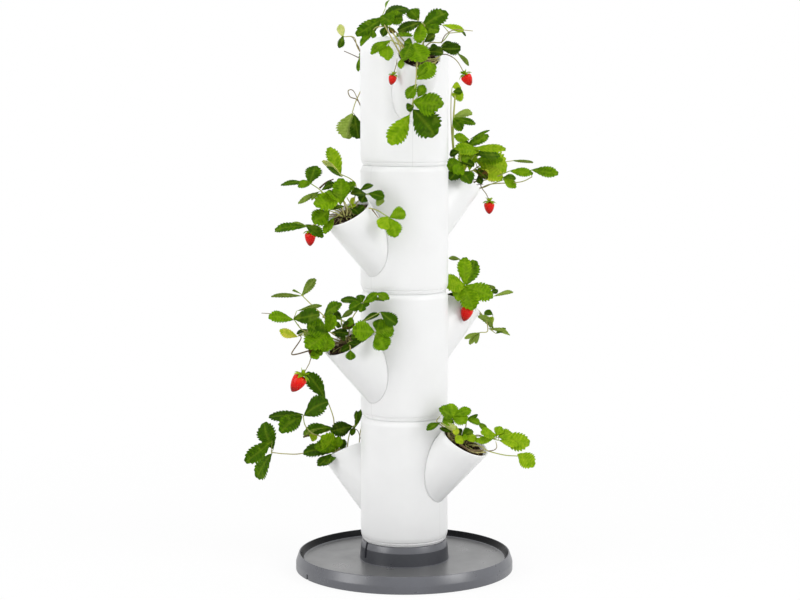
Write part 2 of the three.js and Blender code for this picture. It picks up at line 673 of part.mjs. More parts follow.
moduleTurnsDeg.forEach((turnDeg, index) => {
  const number = index + 1;
  const module = new THREE.Group();
  module.position.z = collarHeight + index * modulePitch;
  module.rotation.z = deg(turnDeg);
  module.add(toMesh(`module_${number}`, shell, whitePlastic));
  module.add(toMesh(`floor_plate_${number}`, plate, whitePlastic));
  module.add(toMesh(`substrate_${number}`, soil, soilEarth));
  for (const pocket of pockets) {
    const plant = plants.find((one) => one.module === number && one.level === pocket.level);
    const group = new THREE.Group();
    group.position.copy(mouthCentre(pocket));
    group.rotation.z = -deg(turnDeg);
    group.add(toMesh(`plant_${number}_${pocket.level}`, plantSolid(plant, turnDeg + pocket.side), foliage));
    for (const fruit of plant.fruit ?? []) {
      const top = placeOf(fruit.top, plant.spread);
      const tip = placeOf(fruit.tip, plant.spread);
      group.add(toMesh(fruit.name, berrySolid(top, tip, fruit.width * plant.spread), redFruit));
    }
    module.add(group);
  }
  tower.add(module);
});

export default tower;
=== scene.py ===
import math
import random

import bmesh
import bpy
import numpy as np
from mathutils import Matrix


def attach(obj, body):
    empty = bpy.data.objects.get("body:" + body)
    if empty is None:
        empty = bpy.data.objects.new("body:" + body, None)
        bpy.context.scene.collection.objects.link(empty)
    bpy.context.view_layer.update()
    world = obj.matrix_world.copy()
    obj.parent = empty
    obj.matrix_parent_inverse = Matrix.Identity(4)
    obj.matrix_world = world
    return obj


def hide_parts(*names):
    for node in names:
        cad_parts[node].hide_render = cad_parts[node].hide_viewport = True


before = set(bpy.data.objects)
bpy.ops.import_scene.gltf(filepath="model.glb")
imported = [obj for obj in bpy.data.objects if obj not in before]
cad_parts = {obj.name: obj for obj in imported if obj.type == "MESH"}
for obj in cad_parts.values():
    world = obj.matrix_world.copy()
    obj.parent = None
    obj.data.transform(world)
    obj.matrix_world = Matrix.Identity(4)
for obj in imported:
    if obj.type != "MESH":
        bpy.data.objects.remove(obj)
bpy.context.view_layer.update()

import openvdb
from mathutils import Matrix, Quaternion, Vector, noise

MM = 0.001

# Module, in millimetres, measured from the seam below it
PITCH = 230.0
REST_GAP = 0.08
BODY_RADIUS = 80.0
WALL = 2.6
FOOT_RADIUS = 74.8
FOOT_FILLET = 30.0
LIP_RADIUS = 74.8
LIP_FILLET = 14.5
FOOT_LINE_HEIGHT = 7.0
FOOT_LINE_WIDTH = 1.6
SPIGOT_RADIUS = 70.0
SPIGOT_LENGTH = 14.0
BORE_CLEARANCE = 1.0
BORE_DEPTH = 8.0
FLANGE_WIDTH = 7.0
FLANGE_THICKNESS = 2.5
LIP_TOP = PITCH - REST_GAP
SOIL_TOP = LIP_TOP - SPIGOT_LENGTH - 8.0

# Pocket
POCKET_HEIGHTS = {"upper": 77.0, "lower": 30.0}
POCKET_SIDES = {"upper": 1.0, "lower": -1.0}
POCKET_TILT = math.radians(44.0)
POCKET_DRAFT = math.tan(math.radians(1.5))
POCKET_REACH = 136.5
POCKET_RISE = 119.0
POCKET_HALF_DEPTH = 45.0
POCKET_HALF_WIDTH = 38.0
POCKET_LENGTH = 140.0
MOUTH_TILT = math.radians(28.0)
SOIL_CLEARANCE = 0.7
CREASE_WIDTH = 1.2
SOIL_DEPTH = 7.0

# Tower
COLLAR_HEIGHT = 54.0
TURNS = {1: 324.0, 2: 41.5, 3: 41.5, 4: 280.6}
MODULES = (1, 2, 3, 4)
LEVELS = ("upper", "lower")


# Meshes

def new_object(name, data):
    """An object in the scene that shows the data."""
    made = bpy.data.objects.new(name, data)
    bpy.context.scene.collection.objects.link(made)
    return made


def place_piece(name, mesh, body, slot, *replaced, placed=Matrix()):
    """A finished mesh as a piece that rides on its body and stands for its CAD nodes."""
    piece = new_object(name, mesh)
    piece.matrix_world = placed
    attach(piece, body)
    if replaced:
        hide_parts(*replaced)


def applied(mesh, name, kind, **settings):
    """A new mesh: this one after one modifier."""
    piece = new_object(name, mesh)
    modifier = piece.modifiers.new(kind, kind)
    for key, value in settings.items():
        setattr(modifier, key, value)
    graph = bpy.context.evaluated_depsgraph_get()
    result = bpy.data.meshes.new_from_object(piece.evaluated_get(graph))
    bpy.data.objects.remove(piece)
    return result


def smooth_max(a, b, blend):
    """The larger of two distances, rounded over the blend where they meet."""
    share = np.maximum(blend - np.abs(a - b), 0) / blend
    return np.maximum(a, b) + share * share * blend / 4


def smooth_min(a, b, blend):
    """The smaller of two distances, rounded over the blend where they meet."""
    return -smooth_max(-a, -b, blend)


def slopes(field, points, step=0.05):
    """The gradient of a distance field at each point."""
    x, y, z = points.T
    return np.stack([
        field(x + step, y, z) - field(x - step, y, z),
        field(x, y + step, z) - field(x, y - step, z),
        field(x, y, z + step) - field(x, y, z - step),
    ], 1) / (2 * step)


def onto_surface(field, points, reach, rounds=4):
    """Points moved onto the zero of a distance field, never further than reach at a time."""
    for _ in range(rounds):
        slope = slopes(field, points)
        squared = np.maximum((slope * slope).sum(1), 1e-6)
        move = (field(*points.T) / squared)[:, None] * slope
        length = np.linalg.norm(move, axis=1)
        points = points - move * np.minimum(1, reach / np.maximum(length, 1e-9))[:, None]
    return points


def mesh_of_field(name, field, low, high, cell, keep_share):
    """The surface where a distance field in millimetres is zero, with its exact normals.

    The field is sampled on cubes of the cell's size, and a share of the faces is kept.
    """
    axes = [
        np.arange(start - 2 * cell, end + 3 * cell, cell, dtype=np.float32)
        for start, end in zip(low, high)
    ]
    grid = openvdb.FloatGrid(3 * cell)
    values = field(*np.meshgrid(*axes, indexing="ij", sparse=True))
    grid.copyFromArray(np.clip(values, -3 * cell, 3 * cell).astype(np.float32))
    grid.transform = openvdb.createLinearTransform(voxelSize=cell)
    points, triangles, quads = grid.convertToPolygons(isovalue=0.0, adaptivity=0.0)
    points = np.asarray(points, float) + np.array([axis[0] for axis in axes], float)
    points = onto_surface(field, points, cell * 0.7)
    fine = bpy.data.meshes.new(name)
    fine.from_pydata(points.tolist(), [], [list(f) for f in quads] + [list(f) for f in triangles])
    mesh = applied(fine, name, "DECIMATE", ratio=keep_share)
    bpy.data.meshes.remove(fine)
    points = vertex_array(mesh)
    points = onto_surface(field, points, cell * 0.5)
    mesh.vertices.foreach_set("co", (points * MM).ravel())
    mesh.update()
    shade_by(mesh, slopes(field, points))
    return mesh


def vertex_array(mesh, key="co"):
    """The places or the normals of a mesh's vertices, a row for each."""
    flat = np.zeros(len(mesh.vertices) * 3)
    mesh.vertices.foreach_get(key, flat)
    return flat.reshape(-1, 3)


def shade_by(mesh, normals):
    """Smooth shading with the given normals at the vertices."""
    normals = normals / np.maximum(np.linalg.norm(normals, axis=1), 1e-9)[:, None]
    mesh.shade_smooth()
    mesh.normals_split_custom_set_from_vertices(normals.tolist())


def rounded_profile(corners, steps=4):
    """Corners [radius, height, rounding] turned into a profile with arcs at its corners."""
    points = []
    count = len(corners)
    for i, (r, z, rounding) in enumerate(corners):
        here = Vector((r, z))
        if not rounding:
            points.append(here)
            continue
        before = Vector(corners[i - 1][:2]) - here
        after = Vector(corners[(i + 1) % count][:2]) - here
        cut = min(rounding, before.length * 0.48, after.length * 0.48)
        start = here + before.normalized() * cut
        end = here + after.normalized() * cut
        for step in range(steps + 1):
            t = step / steps
            points.append(start * (1 - t) ** 2 + here * 2 * t * (1 - t) + end * t * t)
    return points


def around(first, second, turn):
    """A direction turned from the first towards the second."""
    return first * math.cos(turn) + second * math.sin(turn)


def ring_faces(rings):
    """Faces between rings of equally many points, or of one point where they close."""
    faces = []
    for low, high in zip(rings, rings[1:]):
        for i in range(max(len(low), len(high))):
            j = i + 1
            corners = (low[i % len(low)], low[j % len(low)], high[j % len(high)], high[i % len(high)])
            faces.append(tuple(dict.fromkeys(corners)))
    return faces


def lathe_mesh(name, profile, segments):
    """A profile turned round the axis, where its first and last points lie."""
    rings = []
    mesh = bmesh.new()
    for point in profile:
        radius, height = point.x * MM, point.y * MM
        count = segments if point.x else 1
        rings.append([
            mesh.verts.new((radius * math.cos(turn), radius * math.sin(turn), height))
            for turn in (math.tau * i / segments for i in range(count))
        ])
    for corners in ring_faces(rings):
        mesh.faces.new(corners)
    bmesh.ops.recalc_face_normals(mesh, faces=mesh.faces)
    made = bpy.data.meshes.new(name)
    mesh.to_mesh(made)
    mesh.free()
    return made


def sharpen(mesh, degrees):
    """Smooth shading, apart from edges that turn by more than the degrees."""
    mesh.shade_smooth()
    mesh.set_sharp_from_angle(angle=math.radians(degrees))


def cut_boxes(mesh, name, boxes):
    """The mesh less boxes, each given by its middle, size and turn about the axis."""
    cutter = bmesh.new()
    for middle, size, turn in boxes:
        middle, size = Vector(middle) * MM, Vector(size) * MM
        placed = Matrix.Rotation(turn, 4, "Z") @ Matrix.Translation(middle) @ Matrix.Diagonal((*size, 1))
        bmesh.ops.create_cube(cutter, size=1, matrix=placed)
    made = bpy.data.meshes.new(name + "_cutter")
    cutter.to_mesh(made)
    cutter.free()
    tool = new_object(made.name, made)
    result = applied(mesh, name, "BOOLEAN", object=tool, operation="DIFFERENCE", solver="EXACT")
    bpy.data.objects.remove(tool)
    return result


class Builder:
    """Collects points and faces in millimetres for a piece, with each point's tone and vein."""

    def __init__(self):
        self.points, self.faces, self.materials, self.tones, self.veins = [], [], [], [], []

    def add(self, points, faces, material, tone, vein=0.0):
        """Adds a form. Material, tone and vein are one value, or a list of them."""
        first = len(self.points)
        self.points += points
        self.faces += [tuple(first + i for i in face) for face in faces]
        for held, given, count in (
            (self.materials, material, len(faces)),
            (self.tones, tone, len(points)),
            (self.veins, vein, len(points)),
        ):
            held += given if isinstance(given, list) else [given] * count

    def mesh(self, name, *materials):
        """The collected forms as one mesh with these materials."""
        made = bpy.data.meshes.new(name)
        made.from_pydata([tuple(p * MM) for p in self.points], [], self.faces)
        for material in materials:
            made.materials.append(material)
        made.polygons.foreach_set("material_index", self.materials)
        for key, values in (("tone", self.tones), ("vein", self.veins)):
            made.attributes.new(key, "FLOAT", "POINT").data.foreach_set("value", values)
        shape = bmesh.new()
        shape.from_mesh(made)
        bmesh.ops.recalc_face_normals(shape, faces=shape.faces)
        shape.to_mesh(made)
        shape.free()
        sharpen(made, degrees=60)
        return made


def smooth_line(places, steps):
    """A smooth line through the places, of so many steps from each to the next."""
    if len(places) == 2:
        return [places[0].lerp(places[1], i / steps) for i in range(steps + 1)]
    padded = [2 * places[0] - places[1], *places, 2 * places[-1] - places[-2]]
    line = []
    for a, b, c, d in zip(padded, padded[1:], padded[2:], padded[3:]):
        for i in range(steps):
            t = i / steps
            line.append(0.5 * (
                2 * b + (c - a) * t + (2 * a - 5 * b + 4 * c - d) * t * t
                + (3 * b - a - 3 * c + d) * t ** 3
            ))
    line.append(places[-1].copy())
    return line


def add_tube(out, places, radius, material, tones, steps=7, sides=7, taper=1.0):
    """A round stalk along a smooth line, from radius to taper times it, closed at both ends."""
    line = smooth_line(places, steps)
    count = len(line)
    across = Vector((0.3, 0.9, 0.2))
    points, shades = [], []
    for i, place in enumerate(line):
        direction = (line[min(i + 1, count - 1)] - line[max(i - 1, 0)]).normalized()
        across = (across - direction * across.dot(direction)).normalized()
        third = direction.cross(across)
        share = i / (count - 1)
        width = radius * (1 + (taper - 1) * share)
        for j in range(sides):
            points.append(place + around(across, third, math.tau * j / sides) * width)
            shades.append(tones[0] + (tones[1] - tones[0]) * share)
    rings = [tuple(range(i * sides, (i + 1) * sides)) for i in range(count)]
    out.add(points, [*ring_faces(rings), rings[0][::-1], rings[-1]], material, shades)


# Leaves

TEETH = 8
ROWS_PER_TOOTH = 4
LEAF_COLUMNS = 11
LEAF_THICKNESS = 0.45
DRY_TONE = 0.07
LEAF_OUTLINE = ((0, 0.06), (0.06, 0.34), (0.16, 0.68), (0.3, 0.92), (0.46, 1.0), (0.62, 0.98),
                (0.76, 0.84), (0.87, 0.62), (0.95, 0.36), (1, 0.08))
# The least and most of a leaflet's fold, arch, droop, pleats, twist, wave phase and sideways bow
LEAF_HABITS = ((0.05, 0.38), (0.0, 0.45), (0.0, 0.35), (0.06, 0.1), (-0.2, 0.2), (0, math.tau),
               (-0.06, 0.06))
TOOTH_OUT_SHARES = (-0.12, -0.03, 0.05, 0.1)
TOOTH_FORWARD_SHARES = (0.0, 0.0, 0.01, 0.03)
TOP_FACING = Vector((0, -0.85, 0.5))
UNDER_FACING = Vector((0, 0.75, 0.6))
SIDE_SWEEP = 0.24
EDGE_WAVE = 0.04
EDGE_WAVE_TURNS = 5
RIB_NARROWNESS = 4.5
SIDE_VEIN = 0.3
EDGE_LIGHTENING = 0.06
# Painted light on the ridges of the pleats and painted shade in their valleys, as a share of tone
PLEAT_PAINTED_LIGHT = 0.1


def width_at(outline, share, blunt=False):
    """An outline's width at a share of its length. A blunt one starts round, as a ball does."""
    for (s0, w0), (s1, w1) in zip(outline, outline[1:]):
        if share <= s1:
            t = (share - s0) / (s1 - s0)
            if blunt and s0 == 0:
                t = math.sqrt(t)
            return w0 + (w1 - w0) * t
    return outline[-1][1]


def close_sheet(out, middle, columns, shift, looks, tones, veins):
    """Two sheets a small shift to either side of a grid of points, closed round the border."""
    rows = len(middle) // columns
    count = len(middle)
    points = [p + shift for p in middle] + [p - shift for p in middle]
    faces, materials = [], []
    for i in range(rows - 1):
        for j in range(columns - 1):
            a = i * columns + j
            quad = (a, a + 1, a + 1 + columns, a + columns)
            faces += [quad, tuple(count + k for k in reversed(quad))]
            materials += looks
    border = list(range(columns)) + [i * columns + columns - 1 for i in range(1, rows)]
    border += [(rows - 1) * columns + j for j in range(columns - 2, -1, -1)]
    border += [i * columns for i in range(rows - 2, 0, -1)]
    for a, b in zip(border, border[1:] + border[:1]):
        faces.append((a, b, count + b, count + a))
        materials.append(looks[0])
    out.add(points, faces, materials, tones * 2, veins * 2)


def add_leaflet(out, base, tip, width, facing, tone, rng):
    """A toothed leaflet, pleated between its veins, folded along its midrib and curled, with painted light
    on its pleats' ridges and painted shade in their valleys.
    """
    length = (tip - base).length
    along = (tip - base).normalized()
    across = along.cross(facing).normalized()
    up = across.cross(along)
    fold, arch, droop, pleat, twist, phase, bow = (rng.uniform(*limits) for limits in LEAF_HABITS)
    lowest = 0.0 if tone < DRY_TONE else 2 * DRY_TONE
    rows = ROWS_PER_TOOTH * TEETH + 1
    half = LEAF_COLUMNS // 2
    middle, veins, tones = [], [], []
    for i in range(rows):
        share = i / (rows - 1)
        outline = width_at(LEAF_OUTLINE, share)
        wide = outline * width / 2
        tooth = i % ROWS_PER_TOOTH
        hollow = 0.5 - 0.5 * math.cos(math.tau * (tooth + 1) / ROWS_PER_TOOTH)
        for j in range(LEAF_COLUMNS):
            c = (j - half) / half
            edge = max(0.0, abs(c) - 0.6) / 0.4
            x = c * wide * (1 + TOOTH_OUT_SHARES[tooth] * edge)
            x += bow * length * math.sin(math.pi * share)
            forward = SIDE_SWEEP * abs(c) * outline * (1 - share)
            y = length * (share + forward + TOOTH_FORWARD_SHARES[tooth] * edge)
            z = fold * abs(x) - droop * x * x / width + arch * length * share * (1 - share)
            z += pleat * width * hollow * abs(c) * (1.3 - abs(c))
            wave = EDGE_WAVE * width * math.sin(phase + EDGE_WAVE_TURNS * share) * c
            z += twist * x * share + wave
            middle.append(base + across * x + along * y + up * z)
            rib = max(0.0, 1 - abs(c) * RIB_NARROWNESS)
            on_side_vein = tooth == ROWS_PER_TOOTH - 1 and c
            veins.append(max(rib, SIDE_VEIN * (1 - 0.6 * abs(c)) if on_side_vein else 0.0))
            # Painted light and shade: tone raised on the pleats' ridges and lowered in the valleys at the
            # side veins
            pleat_light = PLEAT_PAINTED_LIGHT * (hollow - 0.6) * min(1, 3 * abs(c))
            tones.append(min(1.0, max(lowest, tone + EDGE_LIGHTENING * edge + pleat_light)))
    close_sheet(out, middle, LEAF_COLUMNS, up * (LEAF_THICKNESS / 2), [0, 1], tones, veins)


SEPAL_OUTLINE = ((0, 0.35), (0.3, 0.95), (0.6, 0.8), (0.85, 0.35), (1, 0.03))
SEPAL_WIDTH = 0.32
# Each whorl of a cap: how many sepals, how far out and down they reach, their bow and their curl
CAP_WHORLS = ((7, 0.56, 0.22, 0.6, 0.1), (5, 0.36, -0.24, 0.0, 0.18))


def add_sepal(out, base, tip, width, facing, tone, bow, curl):
    """A small pointed leaf without teeth, bowed over its middle and curled up at its tip."""
    along = tip - base
    across = along.cross(facing).normalized()
    up = across.cross(along).normalized()
    middle = []
    for share, wide in SEPAL_OUTLINE:
        for c in (-1, 0, 1):
            lift = abs(c) * 0.15 * width * wide
            lift += along.length * share * (bow * (1 - share) + curl * share)
            middle.append(base + along * share + across * (c * wide * width / 2) + up * lift)
    close_sheet(out, middle, 3, up * 0.2, [0, 0], [tone] * len(middle), [0.0] * len(middle))


def add_cap(out, top, direction, size, rng):
    """The green cap of a berry: one whorl of pointed leaves over its shoulder, one bent back."""
    side = direction.cross(Vector((0.2, 0.9, 0.3))).normalized()
    third = direction.cross(side)
    for whorl, (count, reach, depth, bow, curl) in enumerate(CAP_WHORLS):
        for i in range(count):
            turn = math.tau * (i + 0.5 * whorl) / count + rng.uniform(-0.15, 0.15)
            out_way = around(side, third, turn)
            sink = size * (depth + rng.uniform(-0.05, 0.05))
            tip = top + out_way * size * reach + direction * sink
            facing = (out_way * 0.4 - direction).normalized()
            tone = 0.62 + 0.24 * rng.random()
            add_sepal(out, top + out_way * 0.4, tip, size * SEPAL_WIDTH, facing, tone, bow, curl)


# Fruit

BERRY_OUTLINE = ((0, 0), (0.03, 0.1), (0.11, 0.215), (0.24, 0.325), (0.4, 0.415), (0.56, 0.47),
                 (0.7, 0.498), (0.8, 0.5), (0.9, 0.44), (0.97, 0.28), (1, 0))
BERRY_ROWS = 44
BERRY_SEGMENTS = 48
DIMPLE_DEPTH = 0.42
DIMPLE_RADIUS = 0.04
BERRY_BULGE = 0.03
SEED_COUNT = 110
SEED_START_SHARE = 0.06
SEED_SPAN_SHARE = 0.86
SEED_SINK = 0.3
SEED_FLATNESS = 0.8
SEED_LENGTH = 0.056
SEED_WIDTH = 0.034
SEED_SIDES = 6
GOLDEN_TURN = math.pi * (3 - math.sqrt(5))


def add_berry(out, top, tip, width, rng):
    """A ripe berry: flesh dimpled round its seeds, and the seeds in the dimples."""
    down = tip - top
    axis = -down.normalized()
    side = axis.cross(Vector((0.3, 0.8, 0.1))).normalized()
    third = axis.cross(side)
    start = top - axis * 0.3

    def on_flesh(share, turn, out_by):
        """A point over the flesh, at a share of the height from the tip and a turn round it."""
        radius = width_at(BERRY_OUTLINE, share, blunt=True) * width
        radius *= 1 + BERRY_BULGE * math.sin(3 * turn + 1) * share
        return start + down * (1 - share) + around(side, third, turn) * (radius + out_by)

    seeds = [
        (SEED_START_SHARE + SEED_SPAN_SHARE * (i + 0.5) / SEED_COUNT, (i * GOLDEN_TURN) % math.tau)
        for i in range(SEED_COUNT)
    ]
    seed_points = np.array([list(on_flesh(s, t, 0)) for s, t in seeds])
    points, tones, rings = [], [], []
    for i in range(BERRY_ROWS + 1):
        share = 0.5 - 0.5 * math.cos(math.pi * i / BERRY_ROWS)
        count = 1 if i in (0, BERRY_ROWS) else BERRY_SEGMENTS
        rings.append(range(len(points), len(points) + count))
        for j in range(count):
            turn = math.tau * j / BERRY_SEGMENTS
            spot = on_flesh(share, turn, 0)
            near = np.linalg.norm(seed_points - np.array(list(spot)), axis=1).min()
            dent = DIMPLE_DEPTH * math.exp(-(near / (width * DIMPLE_RADIUS)) ** 2)
            points.append(on_flesh(share, turn, -dent) if count > 1 else spot)
            # The tone is the share of the height from the tip. The flesh darkens towards the tip as painted
            # shade
            tones.append(share)
    out.add(points, ring_faces(rings), 0, tones)
    for share, turn in seeds:
        middle = on_flesh(share, turn, -SEED_SINK)
        way = (on_flesh(share, turn, 1) - middle).normalized()
        lie = on_flesh(min(share + 0.05, 1), turn, 0) - on_flesh(max(share - 0.05, 0), turn, 0)
        lie = lie.normalized()
        cross = way.cross(lie)
        long_half, wide_half = width * SEED_LENGTH / 2, width * SEED_WIDTH / 2
        seed = [middle + lie * long_half, middle - lie * long_half]
        for k in range(SEED_SIDES):
            angle = math.tau * k / SEED_SIDES
            level = middle + cross * wide_half * math.cos(angle)
            seed.append(level + way * wide_half * math.sin(angle) * SEED_FLATNESS)
        pairs = [(2 + k, 2 + (k + 1) % SEED_SIDES) for k in range(SEED_SIDES)]
        ends = [(0, a, b) for a, b in pairs] + [(1, b, a) for a, b in pairs]
        out.add(seed, ends, 1, rng.random())


# Materials

class Look:
    """A node tree, with short ways to add the nodes that looks are made of.

    Noise and the other patterns lie in the object's own coordinates, in metres.
    """

    def __init__(self, tree):
        self.tree = tree
        self.where = self.node("ShaderNodeTexCoord").outputs["Object"]

    def set_inputs(self, node, inputs):
        """Sets each input of a node to a value, or links it to a socket."""
        for key, value in inputs.items():
            if isinstance(value, bpy.types.NodeSocket):
                self.tree.links.new(value, node.inputs[key])
            else:
                node.inputs[key].default_value = value

    def node(self, kind, inputs=None, **settings):
        """A new node with its settings, such as its operation, and its inputs."""
        made = self.tree.nodes.new(kind)
        for key, value in settings.items():
            setattr(made, key, value)
        self.set_inputs(made, inputs or {})
        return made

    def shade(self, inputs):
        """Sets the material's own shader, and gives its output."""
        shader = self.tree.nodes["Principled BSDF"]
        self.set_inputs(shader, inputs)
        return shader.outputs[0]

    def surface(self, share, first, second):
        """The material's surface: a share of the second shader over the first."""
        both = self.node("ShaderNodeMixShader", {0: share, 1: first, 2: second})
        self.tree.links.new(both.outputs[0], self.tree.nodes["Material Output"].inputs["Surface"])

    def noise(self, scale, detail, roughness=0.5):
        """Noise from zero to one, finer with a larger scale."""
        inputs = {"Vector": self.where, "Scale": scale, "Detail": detail, "Roughness": roughness}
        return self.node("ShaderNodeTexNoise", inputs).outputs["Fac"]

    def spread(self, value, low, high, to_low, to_high):
        """The value spread from one range to another, and held at its ends."""
        inputs = {"Value": value, "From Min": low, "From Max": high, "To Min": to_low, "To Max": to_high}
        return self.node("ShaderNodeMapRange", inputs).outputs["Result"]

    def clouds(self, scale, detail, to_low, to_high, roughness=0.5):
        """Noise whose middle part runs from one value to another."""
        return self.spread(self.noise(scale, detail, roughness), 0.3, 0.7, to_low, to_high)

    def mixed(self, share, *colours):
        """A mix of two colours, each a socket or red, green and blue."""
        first, second = (c if isinstance(c, bpy.types.NodeSocket) else (*c, 1) for c in colours)
        inputs = {0: share, 6: first, 7: second}
        return self.node("ShaderNodeMix", inputs, data_type="RGBA").outputs[2]

    def ramp(self, value, *stops):
        """A colour that runs through the stops, each (place, (red, green, blue))."""
        made = self.node("ShaderNodeValToRGB", {"Fac": value})
        elements = made.color_ramp.elements
        while len(elements) < len(stops):
            elements.new(1.0)
        for element, (place, colour) in zip(elements, stops):
            element.position = place
            element.color = (*colour, 1)
        return made.outputs["Color"]

    def calc(self, operation, first, second=0.0):
        """A step of arithmetic on one or two values."""
        return self.node("ShaderNodeMath", {0: first, 1: second}, operation=operation).outputs[0]

    def bumped(self, height, strength, distance, **others):
        """A normal bumped by a height. The distance is in metres."""
        inputs = {"Height": height, "Strength": strength, "Distance": distance, **others}
        return self.node("ShaderNodeBump", inputs).outputs["Normal"]

    def axes(self):
        """The object's x, y and z."""
        return self.node("ShaderNodeSeparateXYZ", {"Vector": self.where}).outputs

    def length(self, where):
        """How long a vector is."""
        return self.node("ShaderNodeVectorMath", {0: where}, operation="LENGTH").outputs["Value"]

    def attribute(self, name):
        """A value that the mesh holds at its points."""
        return self.node("ShaderNodeAttribute", attribute_name=name).outputs["Fac"]

    def tone(self, mottle):
        """The mesh's tone with a mottle added."""
        return self.calc("ADD", self.attribute("tone"), mottle)

    def background_rays(self):
        """One for camera, glossy and transmission rays, and zero for the rest."""
        path = self.node("ShaderNodeLightPath").outputs
        seen = self.calc("MAXIMUM", path["Is Camera Ray"], path["Is Glossy Ray"])
        return self.calc("MAXIMUM", seen, path["Is Transmission Ray"])


def new_material(make, name=None, **settings):
    """A material, named as the function that makes its look if it has no name of its own."""
    material = bpy.data.materials.new(name or make.__name__)
    material.use_nodes = True
    make(Look(material.node_tree), **settings)
    return material


def white_plastic(look):
    """Smooth white plastic, slightly cloudy and rippled, with a faint parting line where y is 0."""
    cloudy = look.mixed(look.clouds(14.0, 3.0, 0, 1), (0.855, 0.86, 0.858), (0.885, 0.89, 0.888))
    line = look.spread(look.calc("ABSOLUTE", look.axes()["Y"]), 0.0002, 0.0009, 1, 0)
    ripple = look.bumped(look.noise(45.0, 1.0), 0.08, 0.0006)
    look.shade({
        "Base Color": look.mixed(look.calc("MULTIPLY", line, 0.3), cloudy, (0.55, 0.56, 0.55)),
        "Roughness": look.clouds(38.0, 4.0, 0.3, 0.42, roughness=0.6),
        "Subsurface Weight": 0.6,
        "Subsurface Radius": (1.0, 1.0, 1.0),
        "Subsurface Scale": 0.008,
        "Normal": look.bumped(look.noise(2200.0, 2.0), 0.06, 0.0001, Normal=ripple),
    })


GREYS = ((0.058, 0.061, 0.073), (0.081, 0.085, 0.101), (0.155, 0.16, 0.18))
DISH_FLOOR_GREY = (0.22, 0.215, 0.195)


def grey_plastic(look, shade, specular):
    """Fine-grained dark plastic, its greys scaled by shade, and lighter over the floor of the dish."""
    dark, light, speck = [tuple(shade * part for part in colour) for colour in GREYS]
    colour = look.mixed(look.clouds(9.0, 4.0, 0, 1), dark, light)
    colour = look.mixed(look.spread(look.noise(900.0, 2.0), 0.55, 0.8, 0, 0.3), colour, speck)
    x, y, z = look.axes()
    radius = look.length(look.node("ShaderNodeCombineXYZ", {"X": x, "Y": y}).outputs[0])
    # The floor of the dish, past the collar and within the rim, is mixed towards a lighter grey
    past_collar = look.spread(radius, 0.083, 0.087, 0, 1)
    within_rim = look.spread(radius, 0.18, 0.186, 1, 0)
    floor_below = look.spread(z, 0.0187, 0.0195, 0.3, 0)
    floor_lightening = look.calc("MULTIPLY", look.calc("MULTIPLY", past_collar, within_rim), floor_below)
    look.shade({
        "Base Color": look.mixed(floor_lightening, colour, DISH_FLOOR_GREY),
        "Roughness": look.clouds(25.0, 4.0, 0.26, 0.36, roughness=0.6),
        "Specular IOR Level": specular,
        "Normal": look.bumped(look.noise(1500.0, 3.0), 0.12, 0.00015),
    })


def soil_earth(look):
    """Dark cloddy compost with pale specks."""
    clod = look.noise(160.0, 5.0, roughness=0.65)
    colour = look.mixed(look.spread(clod, 0.35, 0.7, 0, 1), (0.008, 0.005, 0.003), (0.06, 0.034, 0.018))
    speck = look.spread(look.noise(700.0, 2.0), 0.64, 0.72, 0, 0.8)
    look.shade({
        "Base Color": look.mixed(speck, colour, (0.22, 0.13, 0.06)),
        "Roughness": 0.95,
        "Specular IOR Level": 0.06,
        "Normal": look.bumped(clod, 0.9, 0.0015),
    })


def leafy(look, greens, vein, roughness, through):
    """Leaf tissue: greens by tone, mottled, with paler veins, pale patches of painted sheen, and lit a
    little from behind.
    """
    tone = look.tone(look.clouds(130.0, 4.0, -0.1, 0.1, roughness=0.6))
    # Pale patches of noise are painted sheen, standing in for glints where light grazes the leaves
    painted_sheen = look.spread(look.noise(55.0, 2.0), 0.56, 0.74, 0, 0.24)
    colour = look.mixed(painted_sheen, look.ramp(tone, *greens), (0.34, 0.46, 0.04))
    colour = look.mixed(look.calc("MULTIPLY", look.attribute("vein"), 0.24), colour, vein)
    cells = look.node("ShaderNodeTexVoronoi", {"Vector": look.where, "Scale": 900.0})
    tissue = look.shade({
        "Base Color": colour,
        "Roughness": roughness,
        "Specular IOR Level": 0.05,
        "Normal": look.bumped(cells.outputs["Distance"], 0.25, 0.0003),
    })
    glow = look.node("ShaderNodeBsdfTranslucent", {"Color": colour})
    look.surface(through, tissue, glow.outputs[0])


def stalk_skin(look):
    """Stalks, roots and fibres: brown, straw or green by tone."""
    tone = look.tone(look.clouds(260.0, 3.0, -0.08, 0.08))
    look.shade({
        "Base Color": look.ramp(tone, (0, (0.05, 0.022, 0.015)), (0.3, (0.16, 0.115, 0.06)),
                                (0.55, (0.45, 0.42, 0.15)), (0.8, (0.29, 0.38, 0.07)),
                                (1, (0.17, 0.27, 0.03))),
        "Roughness": 0.55,
        "Specular IOR Level": 0.12,
        "Normal": look.bumped(look.noise(1400.0, 2.0), 0.3, 0.0002),
    })


def crumb_earth(look):
    """Crumbs of compost, with some of pale grit and bark among them."""
    mottle = look.noise(500.0, 3.0)
    tone = look.tone(look.spread(mottle, 0.3, 0.7, -0.1, 0.1))
    look.shade({
        "Base Color": look.ramp(tone, (0, (0.012, 0.007, 0.004)), (0.45, (0.05, 0.028, 0.015)),
                                (0.75, (0.16, 0.09, 0.05)), (1, (0.42, 0.36, 0.28))),
        "Roughness": 0.9,
        "Specular IOR Level": 0.06,
        "Normal": look.bumped(mottle, 0.7, 0.0008),
    })


